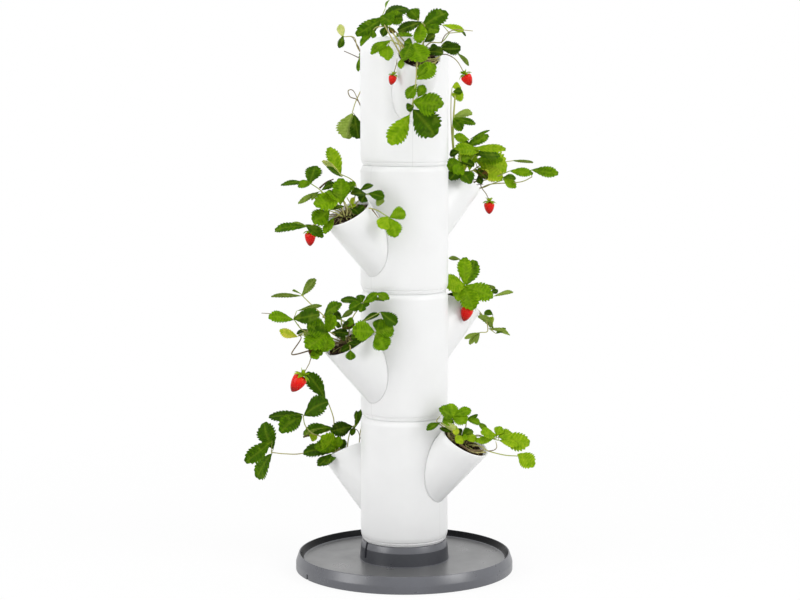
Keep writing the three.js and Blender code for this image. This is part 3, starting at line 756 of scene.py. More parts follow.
def berry_flesh(look):
    """Glossy flesh, paler at the shoulder as ripe berries are, and darkened towards the tip as painted
    shade on its lower side.
    """
    tone = look.tone(look.clouds(120.0, 3.0, -0.12, 0.12))
    look.shade({
        "Base Color": look.ramp(tone, (0.0, (0.2, 0.001, 0.001)), (0.35, (0.54, 0.001, 0.001)),
                                (0.75, (0.72, 0.003, 0.001)), (1.0, (0.75, 0.05, 0.008))),
        "Coat Weight": 0.35,
        "Coat Roughness": 0.08,
        "Coat IOR": 1.4,
        "Roughness": 0.22,
        "Specular IOR Level": 0.06,
        "Subsurface Weight": 0.15,
        "Subsurface Radius": (1.0, 0.2, 0.15),
        "Subsurface Scale": 0.002,
        "Normal": look.bumped(look.noise(800.0, 2.0), 0.1, 0.0002),
    })


def berry_seed(look):
    """Seeds from orange brown to ochre."""
    look.shade({
        "Base Color": look.mixed(look.attribute("tone"), (0.5, 0.12, 0.02), (0.62, 0.3, 0.06)),
        "Roughness": 0.4,
        "Normal": look.bumped(look.noise(2500.0, 2.0), 0.2, 0.0001),
    })


def ground_white(look):
    """White ground that keeps a little of the tower's shadow near it, and is plain white further out."""
    ground = look.shade({"Base Color": (0.9, 0.9, 0.9, 1), "Roughness": 0.9})
    white = look.node("ShaderNodeEmission", {"Color": (1, 1, 1, 1), "Strength": 1.0})
    share = look.spread(look.length(look.where), 0.25, 1.5, 0.88, 1.0)
    look.surface(look.calc("MULTIPLY", look.background_rays(), share), ground, white.outputs[0])


WHITE = new_material(white_plastic)
GREY = new_material(grey_plastic, shade=1.0, specular=0.95)
# Painted shade: a darker copy of the grey for the wall inside the rim
GREY_RIM_PAINTED_SHADE = new_material(grey_plastic, "grey_plastic_rim_painted_shade", shade=0.1, specular=0.08)
# Painted shade: a darker copy of the grey for the wall below the collar's bevel
GREY_COLLAR_PAINTED_SHADE = new_material(grey_plastic, "grey_plastic_collar_painted_shade", shade=0.58, specular=0.5)
SOIL = new_material(soil_earth)
# Greens of the leaf tops by tone. The palest stops at the top are painted sheen on the brightest leaves
TOP_GREENS_AND_SHEEN = ((0, (0.13, 0.06, 0.015)), (0.04, (0.014, 0.038, 0.0006)), (0.35, (0.05, 0.135, 0.001)),
              (0.6, (0.185, 0.37, 0.002)), (0.85, (0.44, 0.6, 0.02)), (1, (0.7, 0.68, 0.08)))
UNDER_GREENS = ((0, (0.16, 0.09, 0.03)), (0.04, (0.05, 0.09, 0.01)), (0.35, (0.13, 0.21, 0.025)),
                (0.6, (0.3, 0.43, 0.06)), (0.85, (0.5, 0.62, 0.14)), (1, (0.72, 0.74, 0.28)))
LEAF_TOP = new_material(leafy, "leaf_top", greens=TOP_GREENS_AND_SHEEN, vein=(0.36, 0.5, 0.03),
                        roughness=0.5, through=0.25)
LEAF_UNDER = new_material(leafy, "leaf_under", greens=UNDER_GREENS, vein=(0.55, 0.62, 0.22),
                          roughness=0.65, through=0.3)
STALK = new_material(stalk_skin)
CRUMB = new_material(crumb_earth)
FLESH = new_material(berry_flesh)
SEED = new_material(berry_seed)


# Modules: distance fields in millimetres, measured from the seam below a module. The last number
# of each smooth_max and smooth_min is how far the edge or the joint is rounded there.

FOOT_ARC = (BODY_RADIUS - FOOT_FILLET,
            math.sqrt(FOOT_FILLET ** 2 - (FOOT_RADIUS - BODY_RADIUS + FOOT_FILLET) ** 2))
LIP_ARC = (BODY_RADIUS - LIP_FILLET,
           LIP_TOP - math.sqrt(LIP_FILLET ** 2 - (LIP_RADIUS - BODY_RADIUS + LIP_FILLET) ** 2))


def barrel(r, z, inset):
    """A cylinder whose two ends are rounded by the foot's and the lip's fillets, less an inset."""
    low = z < (FOOT_ARC[1] + LIP_ARC[1]) / 2
    over_r = r - np.where(low, FOOT_ARC[0], LIP_ARC[0])
    over_z = np.where(low, FOOT_ARC[1] - z, z - LIP_ARC[1])
    fillet = np.where(low, FOOT_FILLET, LIP_FILLET) - inset
    corner = np.hypot(np.maximum(over_r, 0), np.maximum(over_z, 0))
    return corner + np.minimum(np.maximum(over_r, over_z), 0) - fillet


def pocket_frame(x, y, z, level):
    """Across, sideways and along the pocket's axis, and the height over its mouth plane."""
    side = POCKET_SIDES[level]
    out, sideways = x * side - POCKET_REACH, y * side
    over = z - POCKET_HEIGHTS[level] - POCKET_RISE
    across = out * math.cos(POCKET_TILT) - over * math.sin(POCKET_TILT)
    along = out * math.sin(POCKET_TILT) + over * math.cos(POCKET_TILT)
    above = out * math.sin(MOUTH_TILT) + over * math.cos(MOUTH_TILT)
    return across, sideways, along, above


def pocket_tube(across, sideways, along, inset):
    """The pocket's elliptic tube, which widens towards its mouth, less an inset."""
    grow = along * POCKET_DRAFT
    half_depth = POCKET_HALF_DEPTH - inset + grow
    half_width = (POCKET_HALF_WIDTH - inset) * (1 + grow / POCKET_HALF_DEPTH)
    ring = np.hypot(across / half_depth, sideways / half_width)
    slope = np.hypot(across / half_depth ** 2, sideways / half_width ** 2)
    return np.maximum((ring - 1) * ring / np.maximum(slope, 1e-9), -along - POCKET_LENGTH)


def module_field(x, y, z):
    """The moulding: body, spigot and pockets, less its bore, its hollow and its fine lines."""
    r = np.hypot(x, y)
    line = FOOT_LINE_WIDTH / 2 - np.hypot(barrel(r, z, 0), z - FOOT_LINE_HEIGHT)
    shell = smooth_max(barrel(r, z, 0), line, 0.6)
    body = smooth_max(smooth_max(shell, -z, 0.6), z - LIP_TOP, 0.6)
    spigot = smooth_max(smooth_max(r - SPIGOT_RADIUS, -SPIGOT_LENGTH - z, 1.5), z - 4, 1)
    outside = smooth_min(body, spigot, 1)
    bore = smooth_max(r - SPIGOT_RADIUS - BORE_CLEARANCE, LIP_TOP - BORE_DEPTH - z, 1)
    throat = SPIGOT_RADIUS - WALL
    shaft = smooth_max(r - throat, z - BORE_DEPTH, 1)
    shaft = smooth_max(shaft, FLANGE_THICKNESS - SPIGOT_LENGTH - z, 0.8)
    drain = smooth_max(r - throat + FLANGE_WIDTH, z - BORE_DEPTH, 1)
    inside = smooth_min(smooth_min(barrel(r, z, WALL), bore, 1), smooth_min(shaft, drain, 0.5), 1.5)
    for level in LEVELS:
        across, sideways, along, above = pocket_frame(x, y, z, level)
        tube = pocket_tube(across, sideways, along, 0)
        crease = CREASE_WIDTH / 2 - np.hypot(barrel(r, z, 0), tube)
        outside = smooth_min(outside, smooth_max(tube, above, 1.6), 0.5)
        outside = smooth_max(outside, crease, 0.8)
        inside = smooth_min(inside, pocket_tube(across, sideways, along, WALL), 3)
    return smooth_max(outside, -inside, 1.6)


def soil_field(x, y, z):
    """The soil: a column on the floor plate, and the fill of the two pockets."""
    r = np.hypot(x, y)
    floor = 3 * REST_GAP + 2 * FLANGE_THICKNESS - SPIGOT_LENGTH
    throat = SPIGOT_RADIUS - WALL - 1
    column = smooth_max(barrel(r, z, WALL + SOIL_CLEARANCE), z - SOIL_TOP, 4)
    column = np.maximum(column, -z)
    stem = np.maximum(np.maximum(r - throat, floor - z), z - BORE_DEPTH)
    whole = smooth_min(column, stem, 1)
    for level in LEVELS:
        across, sideways, along, above = pocket_frame(x, y, z, level)
        fill = pocket_tube(across, sideways, along, WALL + SOIL_CLEARANCE)
        whole = smooth_min(whole, smooth_max(fill, above + SOIL_DEPTH, 6), 1)
    return whole


def module_matrix(number):
    """Where a module stands in the tower, and which way it is turned."""
    lift = Matrix.Translation((0, 0, (COLLAR_HEIGHT + PITCH * (number - 1)) * MM))
    return lift @ Matrix.Rotation(math.radians(TURNS[number]), 4, "Z")


# Height and size of the soil's swells, and where they start below its surface and fade in
SWELLS = ((2.4, 14), (1.6, 5), (0.8, 2.2))
SWELL_START = 5
SWELL_FADE = 4


def roughen_soil(mesh, seed):
    """Raises and lowers the open surfaces of the soil, and leaves the rest as it is."""
    points = vertex_array(mesh) / MM
    normals = vertex_array(mesh, "normal")
    x, y, z = points.T
    over_soil = [z - SOIL_TOP, *(pocket_frame(x, y, z, level)[3] + SOIL_DEPTH for level in LEVELS)]
    free = np.clip((np.maximum.reduce(over_soil) + SWELL_START) / SWELL_FADE, 0, 1)
    offset = Vector((seed * 37.0, 0, 0))
    for i in np.nonzero(free > 0)[0]:
        spot = Vector(points[i]) + offset
        swell = sum(height * noise.noise(spot / size) for height, size in SWELLS)
        points[i] += normals[i] * swell * free[i]
    mesh.vertices.foreach_set("co", (points * MM).ravel())
    mesh.update()


reach_out = POCKET_REACH + POCKET_HALF_DEPTH
lowest_corner = (-reach_out, -BODY_RADIUS, -SPIGOT_LENGTH)
module_mesh = mesh_of_field("module_shell", module_field, lowest_corner, (reach_out, BODY_RADIUS, LIP_TOP),
                            cell=1.3, keep_share=0.3)
module_mesh.materials.append(WHITE)
soil_mesh = mesh_of_field("soil_fill", soil_field, lowest_corner, (reach_out, BODY_RADIUS, SOIL_TOP),
                          cell=2.2, keep_share=1.0)
soil_mesh.materials.append(SOIL)

PLATE_HOLE_RADIUS = 4.0
PLATE_HOLE_CIRCLE = 42.0
PLATE_HOLES = 8
PLATE_BOTTOM = FLANGE_THICKNESS - SPIGOT_LENGTH + REST_GAP
PLATE_TOP = PLATE_BOTTOM + FLANGE_THICKNESS


def plate_field(x, y, z):
    """A flat disc with a ring of holes."""
    r = np.hypot(x, y)
    sheet = np.maximum(z - PLATE_TOP, PLATE_BOTTOM - z)
    plate = smooth_max(r - (SPIGOT_RADIUS - WALL - 1), sheet, 0.8)
    turn = np.arctan2(y, x)
    step = math.tau / PLATE_HOLES
    folded = turn - step * np.round(turn / step)
    hole = np.hypot(r * np.cos(folded) - PLATE_HOLE_CIRCLE, r * np.sin(folded)) - PLATE_HOLE_RADIUS
    return smooth_max(plate, -hole, 0.8)


plate_half = SPIGOT_RADIUS - WALL
plate_mesh = mesh_of_field("floor_plate", plate_field, (-plate_half, -plate_half, PLATE_BOTTOM),
                           (plate_half, plate_half, PLATE_TOP), cell=1.25, keep_share=0.3)
plate_mesh.materials.append(WHITE)

for number in MODULES:
    body = f"tier_{number}"
    earth = soil_mesh.copy()
    roughen_soil(earth, number)
    for kind, mesh, rider, slot, node in (
        ("module_shell", module_mesh, body, "white_plastic", f"module_{number}"),
        ("drain_plate", plate_mesh, f"floor_{number}", "white_plastic", f"floor_plate_{number}"),
        ("soil", earth, body, "soil", f"substrate_{number}"),
    ):
        place_piece(f"{kind}_{number}", mesh, rider, slot, node, placed=module_matrix(number))


# Saucer

SAUCER_RADIUS = 200.0
SKIRT_HEIGHT = 14.0
RIM_HEIGHT = 30.0
RIM_CREST = 194.5
RIM_TOP_WIDTH = 2.0
DISH_RADIUS = 186.0
DISH_HEIGHT = 18.5
SHEET = 3.0
COLLAR_BEVEL = 43.0
COLLAR_BASE_RADIUS = 82.0
COLLAR_RADIUS = 80.0
COLLAR_TOP_RADIUS = 77.5
COLLAR_WALL = 3.0
FOOT_RING_WIDTH = 2.6
FOOT_PAD_RADIUS = 14.0
SLOT_WIDTH = 6.5
SLOT_BOTTOM = 26.0
SLOT_TURN = math.radians(209.0)
NOTCH_WIDTH = 6.0
NOTCH_HEIGHT = 10.0
NOTCH_DEPTH = 8.0

underside = DISH_HEIGHT - SHEET
skirt_inner = SAUCER_RADIUS - SHEET
collar_top = COLLAR_HEIGHT - REST_GAP
collar_bore = SPIGOT_RADIUS + BORE_CLEARANCE
collar_well = COLLAR_RADIUS - COLLAR_WALL
saucer_profile = rounded_profile([
    (0, 0, 0), (FOOT_PAD_RADIUS, 0, 0.8), (FOOT_PAD_RADIUS, underside, 2),
    (COLLAR_RADIUS - FOOT_RING_WIDTH, underside, 2), (COLLAR_RADIUS - FOOT_RING_WIDTH, 0, 0.7),
    (COLLAR_RADIUS, 0, 0.7), (COLLAR_RADIUS, underside, 2), (DISH_RADIUS, underside, 3),
    ((DISH_RADIUS + skirt_inner + SHEET) / 2, (RIM_HEIGHT + underside) / 2, 2),
    (skirt_inner, SKIRT_HEIGHT - SHEET / 2, 1), (skirt_inner, 0, 0.8),
    (SAUCER_RADIUS, 0, 0.8), (SAUCER_RADIUS, SKIRT_HEIGHT, 1.5), (RIM_CREST, RIM_HEIGHT, 1),
    (RIM_CREST - RIM_TOP_WIDTH, RIM_HEIGHT, 1), (DISH_RADIUS, DISH_HEIGHT, 5),
    (COLLAR_BASE_RADIUS, DISH_HEIGHT, 0.8), (COLLAR_RADIUS, COLLAR_BEVEL, 1),
    (COLLAR_TOP_RADIUS, collar_top, 1), (collar_bore, collar_top, 1),
    (collar_bore, collar_top - BORE_DEPTH, 1),
    (collar_well, collar_top - BORE_DEPTH - (collar_well - collar_bore), 1),
    (collar_well, DISH_HEIGHT, 2), (0, DISH_HEIGHT, 0),
])
slot_length = COLLAR_BASE_RADIUS - collar_bore + 2 * COLLAR_WALL
slot_height = COLLAR_HEIGHT - SLOT_BOTTOM
turned_mesh = lathe_mesh("saucer_turned", saucer_profile, segments=180)
saucer_mesh = cut_boxes(turned_mesh, "saucer_moulding", [
    (((COLLAR_BASE_RADIUS + collar_bore) / 2, 0, SLOT_BOTTOM + slot_height / 2),
     (slot_length, SLOT_WIDTH, slot_height), SLOT_TURN),
    ((SAUCER_RADIUS, 0, 0), (NOTCH_DEPTH, NOTCH_WIDTH, 2 * NOTCH_HEIGHT), SLOT_TURN),
])
sharpen(saucer_mesh, degrees=32)
saucer_mesh.materials.clear()
for material in (GREY, GREY_RIM_PAINTED_SHADE, GREY_COLLAR_PAINTED_SHADE):
    saucer_mesh.materials.append(material)
# The wall inside the rim and the wall below the collar's bevel have their own darker shades of the grey,
# which are painted shade
for face in saucer_mesh.polygons:
    radius, height = face.center.xy.length / MM, face.center.z / MM
    by_rim = DISH_RADIUS - 1 < radius < RIM_CREST - RIM_TOP_WIDTH + 0.2
    if by_rim and DISH_HEIGHT + 0.1 < height < RIM_HEIGHT - 0.3:
        face.material_index = 1
    elif radius < COLLAR_BASE_RADIUS and DISH_HEIGHT + 0.1 < height < COLLAR_BEVEL - 0.6:
        face.material_index = 2
place_piece("saucer_moulding", saucer_mesh, "saucer", "grey_plastic", "saucer")


# Plants: each place is in percent of the plant's spread in millimetres, seen from the front and
# measured from the middle of its pocket's mouth: (right, up, near). A leaf is its stalk's places
# after the crown, then its blades: (right and up of the base, right and up of the tip, near of the
# tip, width, tone) and "under" where the underside shows. Tones are in percent, from dry brown
# through dark to bright green. A leaflet's tone holds its own green together with the light and
# shade it lay in, so leaflets in shadow carry painted shade and lit ones painted light. A berry is
# (CAD node, top, tip, width, its stalk's places), and a twig is a bare stalk: (thickness in
# millimetres, first tone, last tone, places).

# The spreads: what a hundred pixels of the photograph measure at the pockets' depths
FRONT, NEAR, FAR, REAR = 177.0, 180.0, 189.0, 191.0
# Where the photograph's camera stood, in metres
CAMERA_PLACE = (-0.00787, -3.557, 0.892)

PLANTS = [{
    "module": 1, "level": "upper", "spread": NEAR, "seed": 11,
    "leaves": [
        ([(-10, 12, 2), (-13, 22, 0)], [
            (-13, 23, -27, 32, 8, 15, 50), (-13, 24, -14, 38, -10, 15, 62), (-12, 25, 5, 32, -5, 13, 52),
            (-13, 24, 1, 19, 10, 15, 58), (-13, 22, -23, 19, 10, 10, 48)]),
        ([(-22, 14, 5), (-29, 20, 6), (-26, 25, 0)], []),
        ([(-18, 14, 5), (-24, 19, 6)], [
            (-25, 19, -39, 11, 12, 8, 35), (-25, 18, -10, 13, 10, 8, 90, "under"),
            (-24, 17, -12, 20, 0, 8, 30)]),
        ([(-9, 10, 5)], [(-14, 9, -26, 13, 6, 6, 14), (-10, 16, -10, 6, 8, 7, 88)]),
        ([(0, 14, 0), (1, 22, -2)], [
            (1, 23, 12, 27, -5, 4, 30), (1, 22, 14, 17, 0, 10, 50), (12, 19, 21, 11, 2, 6, 45)]),
        ([(-3, 5, 3)], [(-4, 4, 7, 11, 6, 11, 35), (-5, 6, -8, 13, 3, 6, 12)]),
        ([(-5, 3, 5)], [(-3, 5, -10, -1, 10, 10, 82), (-3, 4, 12, 1, 8, 8, 70), (-4, 4, 2, 3, 10, 6, 60)]),
        ([(12, 3, 2), (30, 3, 4)], [
            (31, 6, 15, 8, 12, 14, 62), (31, 5, 35, 15, 0, 10, 62), (31, 6, 10, 0, 12, 8, 60),
            (32, 4, 46, 8, 0, 13, 66)]),
        ([(10, 6, 2), (20, 4, 3), (33, 1, 4)], [(33, 5, 64, -2, 6, 18, 64), (33, 1, 52, -5, 12, 8, 70)]),
        ([(14, -5, 10), (23, -10, 14), (39, -14, 18), (52, -15, 20)], [(52, -13, 69, -25, 32, 16, 66)]),
    ],
    "twigs": [
        (1.0, 20, 50, [(22, -10, 14), (28, -9, 15), (31, -6, 14), (30, 0, 12)]),
        (0.8, 10, 20, [(2, 4, 0), (10, 5, 2), (18, 5, 3)]),
        (3.2, 25, 50, [(-10, -2, 2), (-16, 4, 4), (-17, 10, 5)]),
        (2.4, 20, 35, [(-6, -3, 10), (4, -9, 15), (18, -9, 15)]),
        (2.0, 25, 50, [(-2, -6, 12), (8, -11, 17), (20, -11, 17)]),
    ],
}, {
    "module": 1, "level": "lower", "spread": FAR, "seed": 12,
    "leaves": [
        ([(-10, 20, -5), (-12, 33, -7), (-16, 45, -9), (-19, 52, -10)], [(-20, 52, -39, 78, -20, 17, 28)]),
        ([(-20, 12, 2), (-33, 17, 5), (-40, 25, 8), (-42, 34, 10)], [
            (-41, 35, -17, 49, 22, 20, 26), (-42, 36, -76, 34, -5, 12, 22),
            (-43, 34, -65, 18, 28, 19, 34)]),
        ([(-16, 5, -3), (-43, -3, -12), (-60, -3.5, -16), (-74, -2, -20)], [
            (-72, 1, -81, 28, -30, 19, 34), (-73, 10, -100, -12, -10, 16, 34),
            (-73, -3, -88, -28, -35, 19, 34)]),
        ([(-10, 12, -10), (-13, 21, -14)], [
            (-13, 23, -42, 17, -20, 14, 34), (-13, 21, -42, 13, -10, 9, 62, "under"),
            (-30, 17, -33, 9, 0, 8, 80)]),
        ([(3, 12, -6), (6, 24, -10)], [
            (7, 24, -15, 19, 5, 15, 9), (9, 22, 16, 41, -15, 6, 32), (9, 24, 6, 15, -5, 6, 28),
            (12, 26, 11, 40, -10, 5, 22)]),
        ([(-6, 2, 5)], [
            (-9, -2, -25, 13, 15, 20, 64), (-5, 0, -1, 11, 2, 9, 14), (-10, 0, -6, 14, 5, 10, 52)]),
        ([(-10, -1, 10)], [
            (-12, -2, -42, -3, 10, 18, 24), (-10, 2, -31, 4, 16, 14, 42), (-9, -4, -27, -16, 28, 13, 24),
            (-10, -3, -17, -13, 24, 10, 32)]),
        ([(2, -1, 2)], [(2, -2, 11, 3, 0, 5, 16), (-4, -2, 4, 1, 2, 6, 8)]),
    ],
    "twigs": [
        (1.2, 30, 60, [(0, -2, 5), (12, 2, 0), (15, 20, 0), (20, 34, 0)]),
        (0.9, 10, 30, [(7, 22, 0), (12, 20, 0), (15, 12, 0)]),
        (2.6, 45, 60, [(-2, -2, 3), (-8, 0, 5), (-9, 5, 4)]),
        (1.4, 25, 20, [(-42, 13, -10), (-38, 15, -10), (-34, 15, -10)]),
    ],
}, {
    "module": 2, "level": "upper", "spread": FAR, "seed": 21,
    "leaves": [
        ([(3, 10, 12), (6, 13, 24)], [
            (6, 18, 6, 46, 12, 14, 58), (7, 18, 16, 43, 10, 17, 42), (6, 17, -14, 18, 30, 24, 67),
            (6, 18, 34, 7, 20, 20, 56), (5, 18, 15, -6, 34, 19, 54), (4, 16, -2, 3, 34, 13, 60)]),
        ([(2, 9, 5)], [(1, 10, -12, 0, 16, 11, 8)]),
        ([(1, 25, 0), (2, 42, 0)], [(2, 44, -10, 45, -2, 5, 50, "under")]),
        ([(12, 12, -2), (17, 15, -5)], [
            (17, 18, 36, 13, -15, 11, 60, "under"), (31, 11, 39, 13, -15, 5, 14)]),
        ([(20, 8, -10), (34, 7, -20)], [(34, 7, 54, 11, -35, 6, 60, "under")]),
        ([(14, -3, -5), (24, -12, -12), (33, -27, -15)], [
            (35, -26, 20, -12, -2, 11, 58, "under"), (34, -20, 30, -14, -20, 8, 80),
            (30, -25, 51, -32, -10, 9, 64, "under"), (37, -30, 47, -25, -15, 5, 40),
            (34, -11, 26, -8, -20, 8, 40)]),
        ([(24, -12, -10), (29, -27, -10), (21, -29, -8)], [
            (22, -29, 6, -35, -5, 6, 58, "under"), (21, -30, 11, -41, -10, 7, 62, "under"),
            (21, -30, 17, -40, -5, 5, 55, "under")]),
    ],
    "fruit": [
        ("strawberry_2_upper", (10, -3, 27), (5, -17.5, 27), 12, [(8, 7, 15)]),
    ],
    "twigs": [
        (0.8, 20, 50, [(12, 2, 0), (17, -7, 0), (24, -13, -10)]),
    ],
}, {
    "module": 2, "level": "lower", "spread": NEAR, "seed": 22,
    "leaves": [
        ([(-20, 22, -5), (-36, 37, -13), (-45, 46, -20)], [
            (-46, 45, -75, 44, -30, 8, 43, "under"), (-45, 45, -31, 62, -35, 10, 43, "under"),
            (-43, 45, -54, 50, -30, 6, 53, "under")]),
        ([(-30, 9, 10), (-44, 11, 14), (-53, 22, 15)], [
            (-53, 21, -78, 24, 25, 13, 55), (-53, 22, -27, 27, 26, 16, 23),
            (-50, 30, -25, 35, 5, 8, 51, "under")]),
        ([(-15, 15, -3), (-24, 25, -8)], [(-24, 23, -5, 37, -5, 13, 41), (-18, 27, -8, 29, -12, 3, 21)]),
        ([(-15, 8, 10), (-20, 10, 15)], [
            (-19, 8, -40, 16, 20, 21, 45), (-20, 8, -13, 26, 16, 16, 53), (-19, 9, -40, -8, 30, 23, 47),
            (-20, 9, -22, -11, 30, 17, 51), (-19, 9, -34, 6, 20, 16, 33)]),
        ([(-25, 2, 8), (-42, 6, 10), (-49, 5, 10)], [
            (-49, 4, -67, 11, 10, 10, 96), (-38, 12, -50, 7, 5, 4, 7.5),
            (-36, 12, -42, 4, 10, 7, 80, "under")]),
        ([(-20, -2, 14), (-32, -7, 18)], [
            (-33, -7, -29, -18, 25, 11, 53), (-31, -8, -37, -14, 24, 9, 2),
            (-33, -6, -25, -14, 26, 9, 46)]),
        ([(-8, 6, 2)], [(-16, 8, 1, 7, 10, 11, 9.5), (-9, 11, -3, 0, 14, 6, 15.5)]),
        ([(-4, 12, 2), (-6, 21, 0)], [
            (-5, 21, -13, 28, -10, 8, 27), (-6, 23, 6, 31, 0, 6, 41, "under"), (-2, 18, 7, 19, 8, 10, 46),
            (8, 17, -5, 13, 10, 9, 5.5), (-6, 14, -12, 17, 6, 6, 31)]),
        ([(4, 20, 2), (11, 32, 0), (15, 38, 0)], [
            (14, 39, -6, 41, -10, 10, 25), (14, 39, 2, 32, 6, 10, 33), (15, 38, 12, 46, -8, 9, 31),
            (15, 37, 22, 36, 2, 8, 31), (16, 38, 30, 48, 2, 9, 46), (29, 48, 42, 42, 8, 8, 46),
            (18, 41, 37, 40, -4, 4, 26), (15, 38, 13, 29, 10, 8, 31)]),
        ([(10, 13, 8), (15, 19, 10)], [(14, 19, 32, 27, 5, 6, 17.5), (33, 29, 49, 17, 10, 14, 31)]),
        ([(12, 6, 15), (25, 8, 20)], [(27, 9, 5, 11, 25, 20, 53), (25, 6, 4, 3, 22, 12, 21)]),
        ([(17, 16, 8), (28, 8, 14)], [
            (28, 8, 46, 13, 10, 19, 46), (28, 7, 38, -9, 20, 19, 51), (29, 10, 33, 22, 5, 12, 41)]),
        ([(3, -5, 20), (3, -9, 25)], [(3, -9, 3, -19, 27, 10, 41)]),
        ([(3, 0, 10)], [(0, -2, 14, -4, 14, 8, 20.5), (5, -3, -6, -10, 18, 7, 21)]),
    ],
    "fruit": [
        ("strawberry_2_lower", (-44.5, -34.5, 20), (-55, -50.5, 20), 14.5,
         [(-16, -3, 16), (-34, -15, 20), (-38, -23, 20)]),
    ],
    "twigs": [
        (1.5, 20, 30, [
            (-10, -2, 14), (-36, -9, 16), (-50, -13, 17), (-55, -12, 17), (-46, 2, 15), (-48, 7, 14)]),
        (0.9, 50, 30, [(-70, 27, 22), (-85, 28, 22)]),
        (1.0, 35, 50, [(-30, 8, 10), (-44, 11, 12), (-49, 17, 13)]),
    ],
}, {
    "module": 3, "level": "upper", "spread": FAR, "seed": 31,
    "leaves": [
        ([(-6, 30, 5), (-8, 60, 0), (-8, 84, -5)], [
            (-8, 85, 4, 83, -10, 12, 70), (-7, 92, 1, 93, -12, 10, 78), (-6, 88, 3, 88, -5, 8, 28)]),
        ([(-5, 30, 5), (-7, 45, 5), (-6, 61, 5)], [
            (-6, 63, 13, 66, -10, 11, 66, "under"), (-6, 62, 16, 56, 12, 8, 42),
            (-6, 61, 3, 50, 17, 11, 38)]),
        ([(2, 20, 0), (8, 38, -6)], [
            (10, 41, -5, 44, 0, 9, 60), (5, 33, 29, 45, -15, 10, 42), (10, 41, 30, 50, -25, 3, 38),
            (6, 41, 5, 29, 2, 12, 36)]),
        ([(8, 15, 8), (17, 28, 10)], [
            (20, 29, -5, 29, 17, 19, 64), (12, 32, 46, 31, 20, 10, 68), (12, 27, 40, 25, 0, 12, 38)]),
        ([(6, 12, -4), (16, 20, -10)], [
            (16, 20, 47, 12, -15, 24, 74), (17, 21, 43, 20, -2, 14, 54), (18, 13, 43, 2, -5, 14, 82)]),
        ([(10, 8, 0), (17, 11, 2)], [
            (16, 12, 28, 2, 5, 9, 3), (19, 6, 22, -3, 4, 7, 10), (2, 8, 6, 33, -6, 15, 78),
            (10, 10, 15, 34, -10, 13, 68), (14, 10, 36, 1, -12, 12, 90)]),
        ([(20, 15, -10), (38, 18, -17), (53, 20, -25)], [(53, 20, 73, 18, -35, 7, 50, "under")]),
        ([(20, -7, -12), (32, -3, -8), (46, 2, -4)], [
            (43, 3, 56, -7, 0, 11, 62), (43, 3, 56, 3, -10, 8, 44)]),
        ([(30, 2, -6), (50, 10, 0)], [(50, 10, 73, 7, 5, 10, 56)]),
        ([(17, -8, -16), (32, -3, -10), (60, -1, 0), (72, 4, 4)], [(71, 11, 98, 7, 10, 12, 48)]),
        ([(1, 14, 14), (2, 16, 22)], [
            (4, 17, -12, 13, 28, 15, 44), (0, 29, -9, 25, 20, 9, 8), (1, 12, -9, 1, 33, 13, 10),
            (0, 10, 11, -3, 32, 15, 36), (0, 19, 15, 15, 22, 9, 13), (3, 16, -4, 6, 30, 13, 50),
            (2, 20, 10, 24, 16, 12, 50)]),
    ],
    "fruit": [
        ("strawberry_3_upper", (30, -20.5, -10), (30, -32.5, -10), 10.5,
         [(20, 2, -6), (22, -6, -8), (27, -13, -10)]),
    ],
    "twigs": [
        (1.5, 20, 10, [(6, -4, -5), (13, -3, -6), (22, 5, -4)]),
        (1.0, 30, 20, [(10, -6, -5), (16, -4, -6), (24, -3, -6)]),
        (2.4, 75, 65, [(-4, 12, 6), (-6, 40, 6), (-5.5, 62, 4), (-4, 84, -2)]),
        (1.4, 10, 20, [(20, 10, -2), (21, 0, -6), (22, -7, -8)]),
    ],
}, {
    "module": 3, "level": "lower", "spread": NEAR, "seed": 32,
    "leaves": [
        ([(7, 12, 0), (9, 27, -3), (4, 33, -7), (-4, 37, -10)], [
            (-6, 38, -18, 64, -15, 16, 66), (-5, 36, -24, 51, 0, 8, 98, "under"),
            (-5, 35, -20, 45, 5, 6, 30)]),
        ([(-15, 10, 0), (-26, 22, -3), (-36, 29, -5)], [
            (-37, 28, -31, 46, -15, 17, 38), (-38, 29, -65, 27, -10, 8, 34), (-34, 30, -48, 25, 8, 8, 48)]),
        ([(-12, 11, 8), (-24, 20, 18)], [
            (-26, 21, -48, 9, 30, 7, 50, "under"), (-25, 19, -35, 13, 28, 6, 40, "under"),
            (-25, 22, -10, 28, 10, 8, 14)]),
        ([(-3, 10, 8), (-5, 15, 12)], [
            (-4, 16, -32, 7, 26, 19, 58), (-6, 8, -6, 34, 18, 17, 50), (-5, 15, 8, 30, 10, 11, 42),
            (-5, 12, -20, 20, 22, 12, 55)]),
        ([(-10, 2, 8), (-16, 3, 12)], [
            (-17, 2, -34, -9, 22, 18, 44), (-18, 4, -27, 5, 15, 7, 12), (-18, 4, -3, 6, 16, 5, 14)]),
        ([(-10, -4, 12)], [(-13, -5, -22, -21, 22, 10, 50)]),
        ([(-17, -4, 13), (-26, -10, 14), (-40, -14, 12)], [
            (-40, -14, -71, -18, 0, 11, 36), (-38, -14, -58, -13, -2, 7, 60, "under"),
            (-41, -12, -24, -25, 16, 14, 36)]),
        ([(10, 10, 2), (19, 18, 3)], [
            (20, 18, 4, 18, 12, 12, 12), (18, 17, 14, 10, 12, 10, 16), (13, 22, 26, 27, 0, 7, 22),
            (21, 19, 37, 15, 8, 11, 30), (30, 17, 32, 7, 10, 9, 60, "under")]),
        ([(17, 4, 3), (28, 3, 8), (37, -2, 11), (42, -5, 12)], [
            (42, -5, 58, -1, 10, 15, 58), (42, -5, 49, -24, 17, 16, 62), (41, -4, 32, -15, 18, 14, 68)]),
        ([(4, 2, 6)], [
            (3, 5, 12, -2, 10, 10, 6), (10, 0, 17, 6, 8, 8, 12), (3, 7, 7, 15, 5, 5, 88),
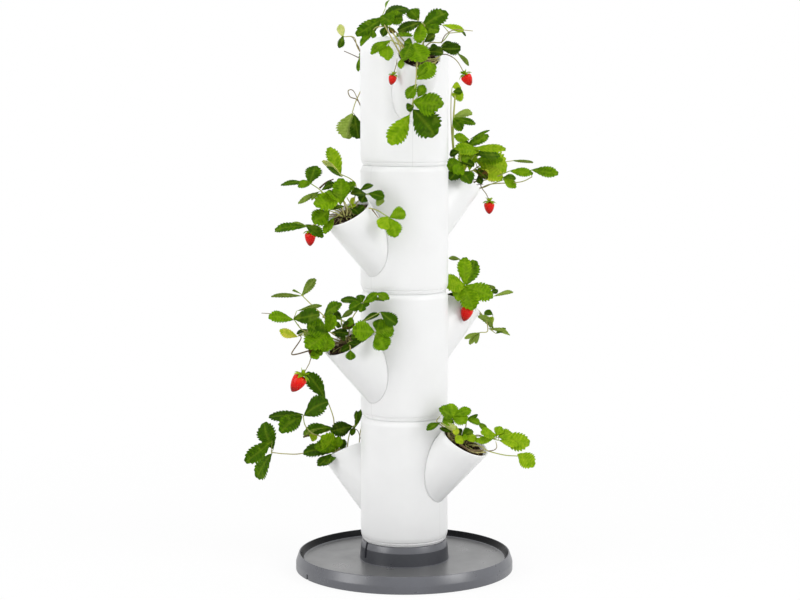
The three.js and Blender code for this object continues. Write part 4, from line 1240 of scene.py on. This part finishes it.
            (0, 5, 9, 7, 7, 6, 80)]),
    ],
    "fruit": [
        ("strawberry_3_lower", (-36, -19, 2), (-36.5, -33, 2), 11, [(-18, -2, 14), (-30, -8, 8)]),
    ],
    "twigs": [
        (1.8, 10, 15, [(-27, 24, 2), (-20, 30, 2), (-13, 33, 2)]),
        (1.4, 55, 60, [(-2, -4, 8), (-5, 5, 10), (-10, 14, 12)]),
        (1.4, 60, 55, [(0, -3, 9), (0, 6, 10), (-5, 15, 10)]),
        (1.4, 55, 65, [(3, -3, 8), (5, 5, 8), (0, 15, 6)]),
        (1.2, 60, 60, [(-4, -4, 10), (-12, 0, 12), (-18, 2, 14)]),
        (1.2, 30, 30, [(25, 3, 8), (28, -1, 10), (31, -5, 12)]),
    ],
}, {
    "module": 4, "level": "upper", "spread": FRONT, "seed": 41,
    "leaves": [
        ([(-20, 15, 0), (-32, 30, -10), (-37, 37, -13)], [
            (-33, 38, -62, 20, -5, 14, 37), (-37, 35, -10, 45, -30, 18, 29),
            (-36, 36, -16, 36, -20, 15, 45), (-38, 38, -26, 31, 0, 16, 39),
            (-33, 46, -29, 54, -30, 3, 55, "under")]),
        ([(-2, 15, -6), (-1, 36, -20)], [(0, 34, -9, 45, -30, 14, 41)]),
        ([(4, 12, 0), (6, 29, 0)], [
            (1, 26, 28, 42, -10, 17, 31), (6, 28, 20, 24, 12, 14, 39), (3, 33, -21, 24, 10, 11, 11.5),
            (2, 32, 0, 12, 12, 14, 55)]),
        ([(4, 8, 10)], [(5, 13, 16, 20, 14, 8, 11.5)]),
        ([(10, 12, 2), (22, 13, 0), (30, 22, -3)], [
            (23, 30, 44, 24, -10, 8, 78), (42, 23, 46, 20, -10, 4, 17.5)]),
        ([(12, 8, 6), (20, 8, 8)], [
            (21, 7, 41, 7, 5, 13, 9.5), (37, 3, 49, -10, 16, 6, 45, "under"), (21, 8, 32, 13, 2, 8, 17.5)]),
        ([(-3, 5, 15), (-6, 10, 18)], [
            (-7, 12, -14, -5, 26, 14, 41), (-5, 12, 5, -6, 30, 21, 51), (-6, 10, -14, 13, 15, 10, 35)]),
        ([(7, 4, 14)], [(8, 3, 24, 2, 18, 12, 10.5), (10, 5, 18, 9, 12, 8, 9.5)]),
        ([(-15, 8, 5), (-28, 15, 8)], [
            (-28, 15, -47, 1, 16, 9, 45), (-30, 10, -31, -5, 17, 12, 57), (-32, 10, -37, -1, 18, 8, 61)]),
        ([(-25, 25, -4), (-40, 28, -6), (-45, 25, -5)], [
            (-45, 22, -57, 9, 0, 8, 43), (-45, 25, -45, 17, 0, 7, 45)]),
        ([(-16, 10, 0), (-30, 28, 0)], [(-31, 29, -36, 19, 2, 8, 5), (-30, 28, -24, 22, 3, 5, 2)]),
        ([(0, -3, 22), (-2, -12, 30), (-2, -23, 33)], [
            (-2, -24, 17, -10, 36, 19, 55), (-2, -20, 8, -10, 34, 12, 47)]),
        ([(-2, -2, 21), (-3, -25, 34), (-6, -45, 34)], [
            (-6, -46, 24, -49, 40, 29, 50), (-6, -53, 16, -79, 36, 27, 30), (-9, -58, -29, -87, 30, 19, 59),
            (-2, -28, -12, -42, 33, 12, 45), (-1, -41, 5, -29, 32, 10, 45),
            (-5, -50, -12, -53, 34, 10, 25)]),
        ([(-17, -2, 16)], [(-17, -3, -18, -13, 20, 7, 63)]),
    ],
    "fruit": [
        ("strawberry_4_left", (-25, -19, 2), (-27.5, -28.7, 2), 8.2, [(-19, 0, 0), (-22, -8, 1)]),
        ("strawberry_4_right", (45.2, -18.5, 10), (51, -29.2, 10), 10.8,
         [(22, 1, 8), (30, 0, 10), (38, -6, 10)]),
    ],
    "twigs": [
        (1.0, 30, 50, [(22, 12, 0), (26, 20, 0), (34, 25, -2), (42, 25, -3), (53, 24, -3)]),
        (1.8, 55, 50, [(-15, -5, 12), (-22, 8, 8), (-34, 30, 0)]),
        (1.6, 60, 55, [(-13, -4, 12), (-20, 12, 8), (-29, 29, 0)]),
        (1.4, 55, 50, [(-10, -2, 12), (-18, 12, 7), (-27, 24, 2)]),
        (2.0, 30, 50, [(2, -6, 20), (14, -5, 16), (20, -1, 10)]),
        (1.4, 50, 60, [(5, -7, 20), (13, -7.5, 17), (20, -4, 12)]),
        (1.2, 55, 65, [(8, -4, 18), (15, -3, 15), (22, 0, 10)]),
        (1.6, 30, 45, [(0, -8.5, 20), (10, -9.5, 19), (17, -7, 14)]),
    ],
}, {
    "module": 4, "level": "lower", "spread": REAR, "seed": 42,
    "leaves": [
        ([(-30, 30, 0), (-36, 44, 0), (-46, 45, 0)], [
            (-47, 44, -50, 57, 0, 8, 95, "under"), (-47, 46, -51, 34, 2, 7, 30)]),
        ([(-25, 16, 0), (-31, 24, 2)], [(-31, 24, -32, 11, 4, 5, 40)]),
        ([(-20, 6, 0), (-33, -15, 0), (-38, -29, 0)], [
            (-38, -30, -44, -55, 0, 23, 66, "under"), (-36, -31, -32, -55, -5, 14, 24)]),
        ([(10, 20, -6), (15, 30, -10)], [
            (15, 30, 35, 35, -10, 20, 50), (15, 30, 10, 50, -15, 18, 45), (15, 30, 22, 12, -25, 18, 55)]),
        ([(-6, 15, -15), (-10, 25, -25)], [
            (-10, 25, -30, 30, -40, 18, 40), (-10, 25, -5, 45, -35, 20, 50),
            (-10, 25, 10, 15, -50, 20, 55)]),
        ([(-10, 10, -10)], [(-10, 10, -25, 5, -25, 16, 45), (-8, 10, 8, 8, -30, 17, 50)]),
    ],
    "twigs": [
        (1.0, 25, 30, [(-28, 10, 0), (-30, 30, 0), (-35, 40, 0), (-39, 45, 0), (-47, 45, 0)]),
        (1.2, 30, 20, [(-25, 18, 0), (-31, 24, 0), (-46, 31, 0)]),
        (1.2, 30, 35, [
            (-28, -27, 0), (-33, -17, 0), (-40, -14, 0), (-42, -8, 0), (-37, -8, 0), (-31, -20, 0)]),
    ],
}]

# Stalks, crown, caps and litter. Sizes are in millimetres, and a leaf's lean is in degrees.
STALK_RADIUS = 1.2
STALK_RISE = 0.18
STALK_TAPER = 0.75
STALK_START = 2.5
SIDE_STALK_SHARE = 0.7
HUB_REACH = 2
LEAF_LEAN = 24
TONE_UNEVENNESS = 0.03
CROWN_SINK = 2
CROWN_DEPTH = 8
CROWN_RADIUS = 5.0
CROWN_SCALES = 9
SCALE_RADIUS = 2.4
SCALE_REACH_SHARES = (1.0, 1.8)
SCALE_HEIGHTS = (3, 10)
SCALE_TAPER = 0.35
FRUIT_STALK_RADIUS = 1.0
FRUIT_STALK_TONES = (0.2, 0.45)
FRUIT_STALK_GAP = 1.2
CAP_GAP = 0.6
CAP_GROWTH = 1.15
LITTER_SHARE = 0.93
MOUTH_CRUMBS = 60
CRUMB_SIZES = (1.6, 4.2)
MOUTH_FIBRES = 26
FIBRE_RADII = (0.4, 0.9)
TWIG_TAPER = 0.6


def mouth_axes(number, level):
    """The middle of a pocket's mouth, and its outward, sideways and upward directions."""
    spot = Vector((POCKET_REACH * POCKET_SIDES[level], 0, POCKET_HEIGHTS[level] + POCKET_RISE))
    heading = math.radians(TURNS[number]) + (0 if level == "upper" else math.pi)
    outward = Vector((math.cos(heading), math.sin(heading), 0))
    normal = outward * math.sin(MOUTH_TILT) + Vector((0, 0, math.cos(MOUTH_TILT)))
    sideways = Vector((-outward.y, outward.x, 0))
    return module_matrix(number) @ (spot * MM) / MM, normal.cross(sideways) * -1, sideways, normal


def add_crumb(out, middle, size, material, tone, rng):
    """A lump with eight uneven corners."""
    corners = [
        middle + Vector((x, y, z)) * size * rng.uniform(0.35, 0.7)
        for x in (-1, 1) for y in (-1, 1) for z in (-1, 1)
    ]
    faces = [(0, 1, 3, 2), (4, 6, 7, 5), (0, 4, 5, 1), (2, 3, 7, 6), (0, 2, 6, 4), (1, 5, 7, 3)]
    out.add(corners, faces, material, tone)


def dress_mouth(number, level, rng):
    """Crumbs and dry fibres on the soil of a pocket."""
    middle, out_way, sideways, normal = mouth_axes(number, level)
    litter = Builder()

    def on_soil(rim_share, turn):
        """A point on the soil, at a share of the way to the rim and a turn from the outer side."""
        across = POCKET_HALF_DEPTH / math.cos(POCKET_TILT - MOUTH_TILT) - 2 * WALL
        wide = POCKET_HALF_WIDTH - 2 * WALL
        return (middle + out_way * across * rim_share * math.cos(turn)
                + sideways * wide * rim_share * math.sin(turn) - normal * (SOIL_DEPTH - 0.5))

    for _ in range(MOUTH_CRUMBS):
        spot = on_soil(math.sqrt(rng.random()) * LITTER_SHARE, rng.uniform(0, math.tau))
        add_crumb(litter, spot, rng.uniform(*CRUMB_SIZES), 0, rng.random() ** 2, rng)
    for _ in range(MOUTH_FIBRES):
        turn = rng.uniform(0, math.tau)
        start = on_soil(rng.uniform(0.05, 0.5), turn) + normal * rng.uniform(0, 4)
        end = on_soil(rng.uniform(0.6, 0.95), turn + rng.uniform(-0.5, 0.5)) + normal * rng.uniform(1, 6)
        bend = start.lerp(end, 0.5) + normal * rng.uniform(1, 6) + sideways * rng.uniform(-4, 4)
        radius = rng.uniform(*FIBRE_RADII)
        tones = (rng.uniform(0.25, 0.85), rng.uniform(0.35, 0.9))
        add_tube(litter, [start, bend, end], radius, 1, tones, steps=4, sides=5, taper=0.5)
    name = f"litter_{number}_{level}"
    place_piece(name, litter.mesh(name, CRUMB, STALK), f"tier_{number}", "soil")


def grow_plant(plant):
    """A plant with its crown, stalks, leaves, fruit and twigs, and the litter in its pocket."""
    number, level, spread_mm = plant["module"], plant["level"], plant["spread"]
    body, label = f"tier_{number}", f"{number}_{level}"
    rng = random.Random(plant["seed"])
    mouth, out_way, sideways, normal = mouth_axes(number, level)
    crown = mouth - normal * CROWN_SINK
    leaves, stalks = Builder(), Builder()

    def at(place):
        """A place measured in the picture, moved nearer along its line of sight."""
        right, up, near = (percent / 100 for percent in place)
        flat = mouth + Vector((right, 0, up)) * spread_mm
        sight = Vector(CAMERA_PLACE) / MM - flat
        return flat + sight * (near * spread_mm / -sight.y)

    def stalk(places, radius, tones):
        """A stalk from the crown through the places, raised in its middle if there is only one."""
        way = places[0] - crown
        scatter = Vector((rng.uniform(-2, 2), rng.uniform(-2, 2), -4))
        start = crown + way.normalized() * STALK_START + scatter
        if len(places) == 1:
            raised = start.lerp(places[0], 0.5)
            raised.z += STALK_RISE * (places[0] - start).length
            places = [raised, places[0]]
        add_tube(stalks, [start, *places], radius, 0, tones, taper=STALK_TAPER)

    for i in range(CROWN_SCALES):
        turn = math.tau * i / CROWN_SCALES + rng.uniform(-0.2, 0.2)
        lean = around(out_way, sideways, turn)
        foot = crown + lean * CROWN_RADIUS * 0.8 - normal * CROWN_DEPTH
        top = crown + lean * CROWN_RADIUS * rng.uniform(*SCALE_REACH_SHARES)
        top += normal * rng.uniform(*SCALE_HEIGHTS)
        tones = (rng.uniform(0, 0.2), rng.uniform(0.2, 0.6))
        bulge = foot.lerp(top, 0.5) + lean
        add_tube(stalks, [foot, bulge, top], SCALE_RADIUS, 0, tones, taper=SCALE_TAPER)
    for path, blades in plant["leaves"]:
        places = [at(p) for p in path]
        hub = places[-1]
        stalk(places, STALK_RADIUS, (rng.uniform(0.2, 0.5), rng.uniform(0.55, 0.95)))
        for base_right, base_up, right, up, tip_near, width, tone, *side in blades:
            base, tip = at((base_right, base_up, path[-1][2])), at((right, up, tip_near))
            if (base - hub).length > HUB_REACH:
                add_tube(stalks, [hub, base], STALK_RADIUS * SIDE_STALK_SHARE, 0, (0.6, 0.8), taper=0.8)
            lean = math.radians(rng.uniform(-LEAF_LEAN, LEAF_LEAN))
            facing = Quaternion((tip - base).normalized(), lean) @ (UNDER_FACING if side else TOP_FACING)
            tone = tone / 100 + rng.uniform(-TONE_UNEVENNESS, TONE_UNEVENNESS)
            add_leaflet(leaves, base, tip, width / 100 * spread_mm, facing, tone, rng)
    for node, top, tip, width, path in plant.get("fruit", []):
        name, width = node + "_fruit", width / 100 * spread_mm
        top, tip = at(top), at(tip)
        direction = (tip - top).normalized()
        end = top - direction * FRUIT_STALK_GAP
        stalk([*(at(p) for p in path), end], FRUIT_STALK_RADIUS, FRUIT_STALK_TONES)
        add_cap(leaves, top - direction * CAP_GAP, direction, width * CAP_GROWTH, rng)
        berry = Builder()
        add_berry(berry, top, tip, width, rng)
        place_piece(name, berry.mesh(name, FLESH, SEED), body, "fruit", node)
    for thickness, first, last, path in plant["twigs"]:
        tones = (first / 100, last / 100)
        add_tube(stalks, [at(p) for p in path], thickness, 0, tones, taper=TWIG_TAPER)
    place_piece(f"leaves_{label}", leaves.mesh(f"leaves_{label}", LEAF_TOP, LEAF_UNDER), body,
                "foliage", f"plant_{label}")
    place_piece(f"stalks_{label}", stalks.mesh(f"stalks_{label}", STALK), body, "foliage")
    dress_mouth(number, level, rng)


for plant in PLANTS:
    grow_plant(plant)


# Camera, light and ground

CAMERA_PITCH = math.radians(4.934)
CAMERA_LENS = 88.0
CAMERA_SENSOR = 36.0
CAMERA_SHIFT = -0.06
SKY_STRENGTH = 0.78
GROUND_HALF = 6.0
GROUND_DROP = 0.0005

camera_data = bpy.data.cameras.new("camera")
camera_data.lens = CAMERA_LENS
camera_data.sensor_width = CAMERA_SENSOR
camera_data.shift_y = CAMERA_SHIFT
camera = new_object("camera", camera_data)
camera.location = CAMERA_PLACE
camera.rotation_euler = (math.pi / 2 - CAMERA_PITCH, 0, 0)
bpy.context.scene.camera = camera


def area_light(name, place, target, size, power):
    """A round soft light at a place, facing its target."""
    lamp = bpy.data.lights.new(name, "AREA")
    lamp.shape = "DISK"
    lamp.size = size
    lamp.energy = power
    holder = new_object(name, lamp)
    holder.location = place
    holder.rotation_euler = (Vector(target) - Vector(place)).to_track_quat("-Z", "Y").to_euler()


area_light("key_light", (2.7, -1.6, 1.9), (0, 0, 0.4), size=1.8, power=40)
area_light("fill_light", (-2.8, -1.6, 1.4), (0, 0, 0.4), size=2.0, power=32)
area_light("top_light", (-0.3, -1.7, 3.2), (0, 0, 0.8), size=2.2, power=10)

world = bpy.data.worlds.new("studio")
bpy.context.scene.world = world
world.use_nodes = True
sky = Look(world.node_tree)
sky.set_inputs(world.node_tree.nodes["Background"], {
    "Color": (1, 1, 1, 1),
    "Strength": sky.spread(sky.background_rays(), 0, 1, SKY_STRENGTH, 1.0),
})

floor_mesh = bpy.data.meshes.new("ground")
corners = [(x * GROUND_HALF, y * GROUND_HALF, 0) for x, y in ((-1, -1), (1, -1), (1, 1), (-1, 1))]
floor_mesh.from_pydata(corners, [], [(0, 1, 2, 3)])
floor_mesh.materials.append(new_material(ground_white))
floor = new_object("ground", floor_mesh)
floor.location.z = -GROUND_DROP

bpy.context.scene.view_settings.view_transform = "Standard"
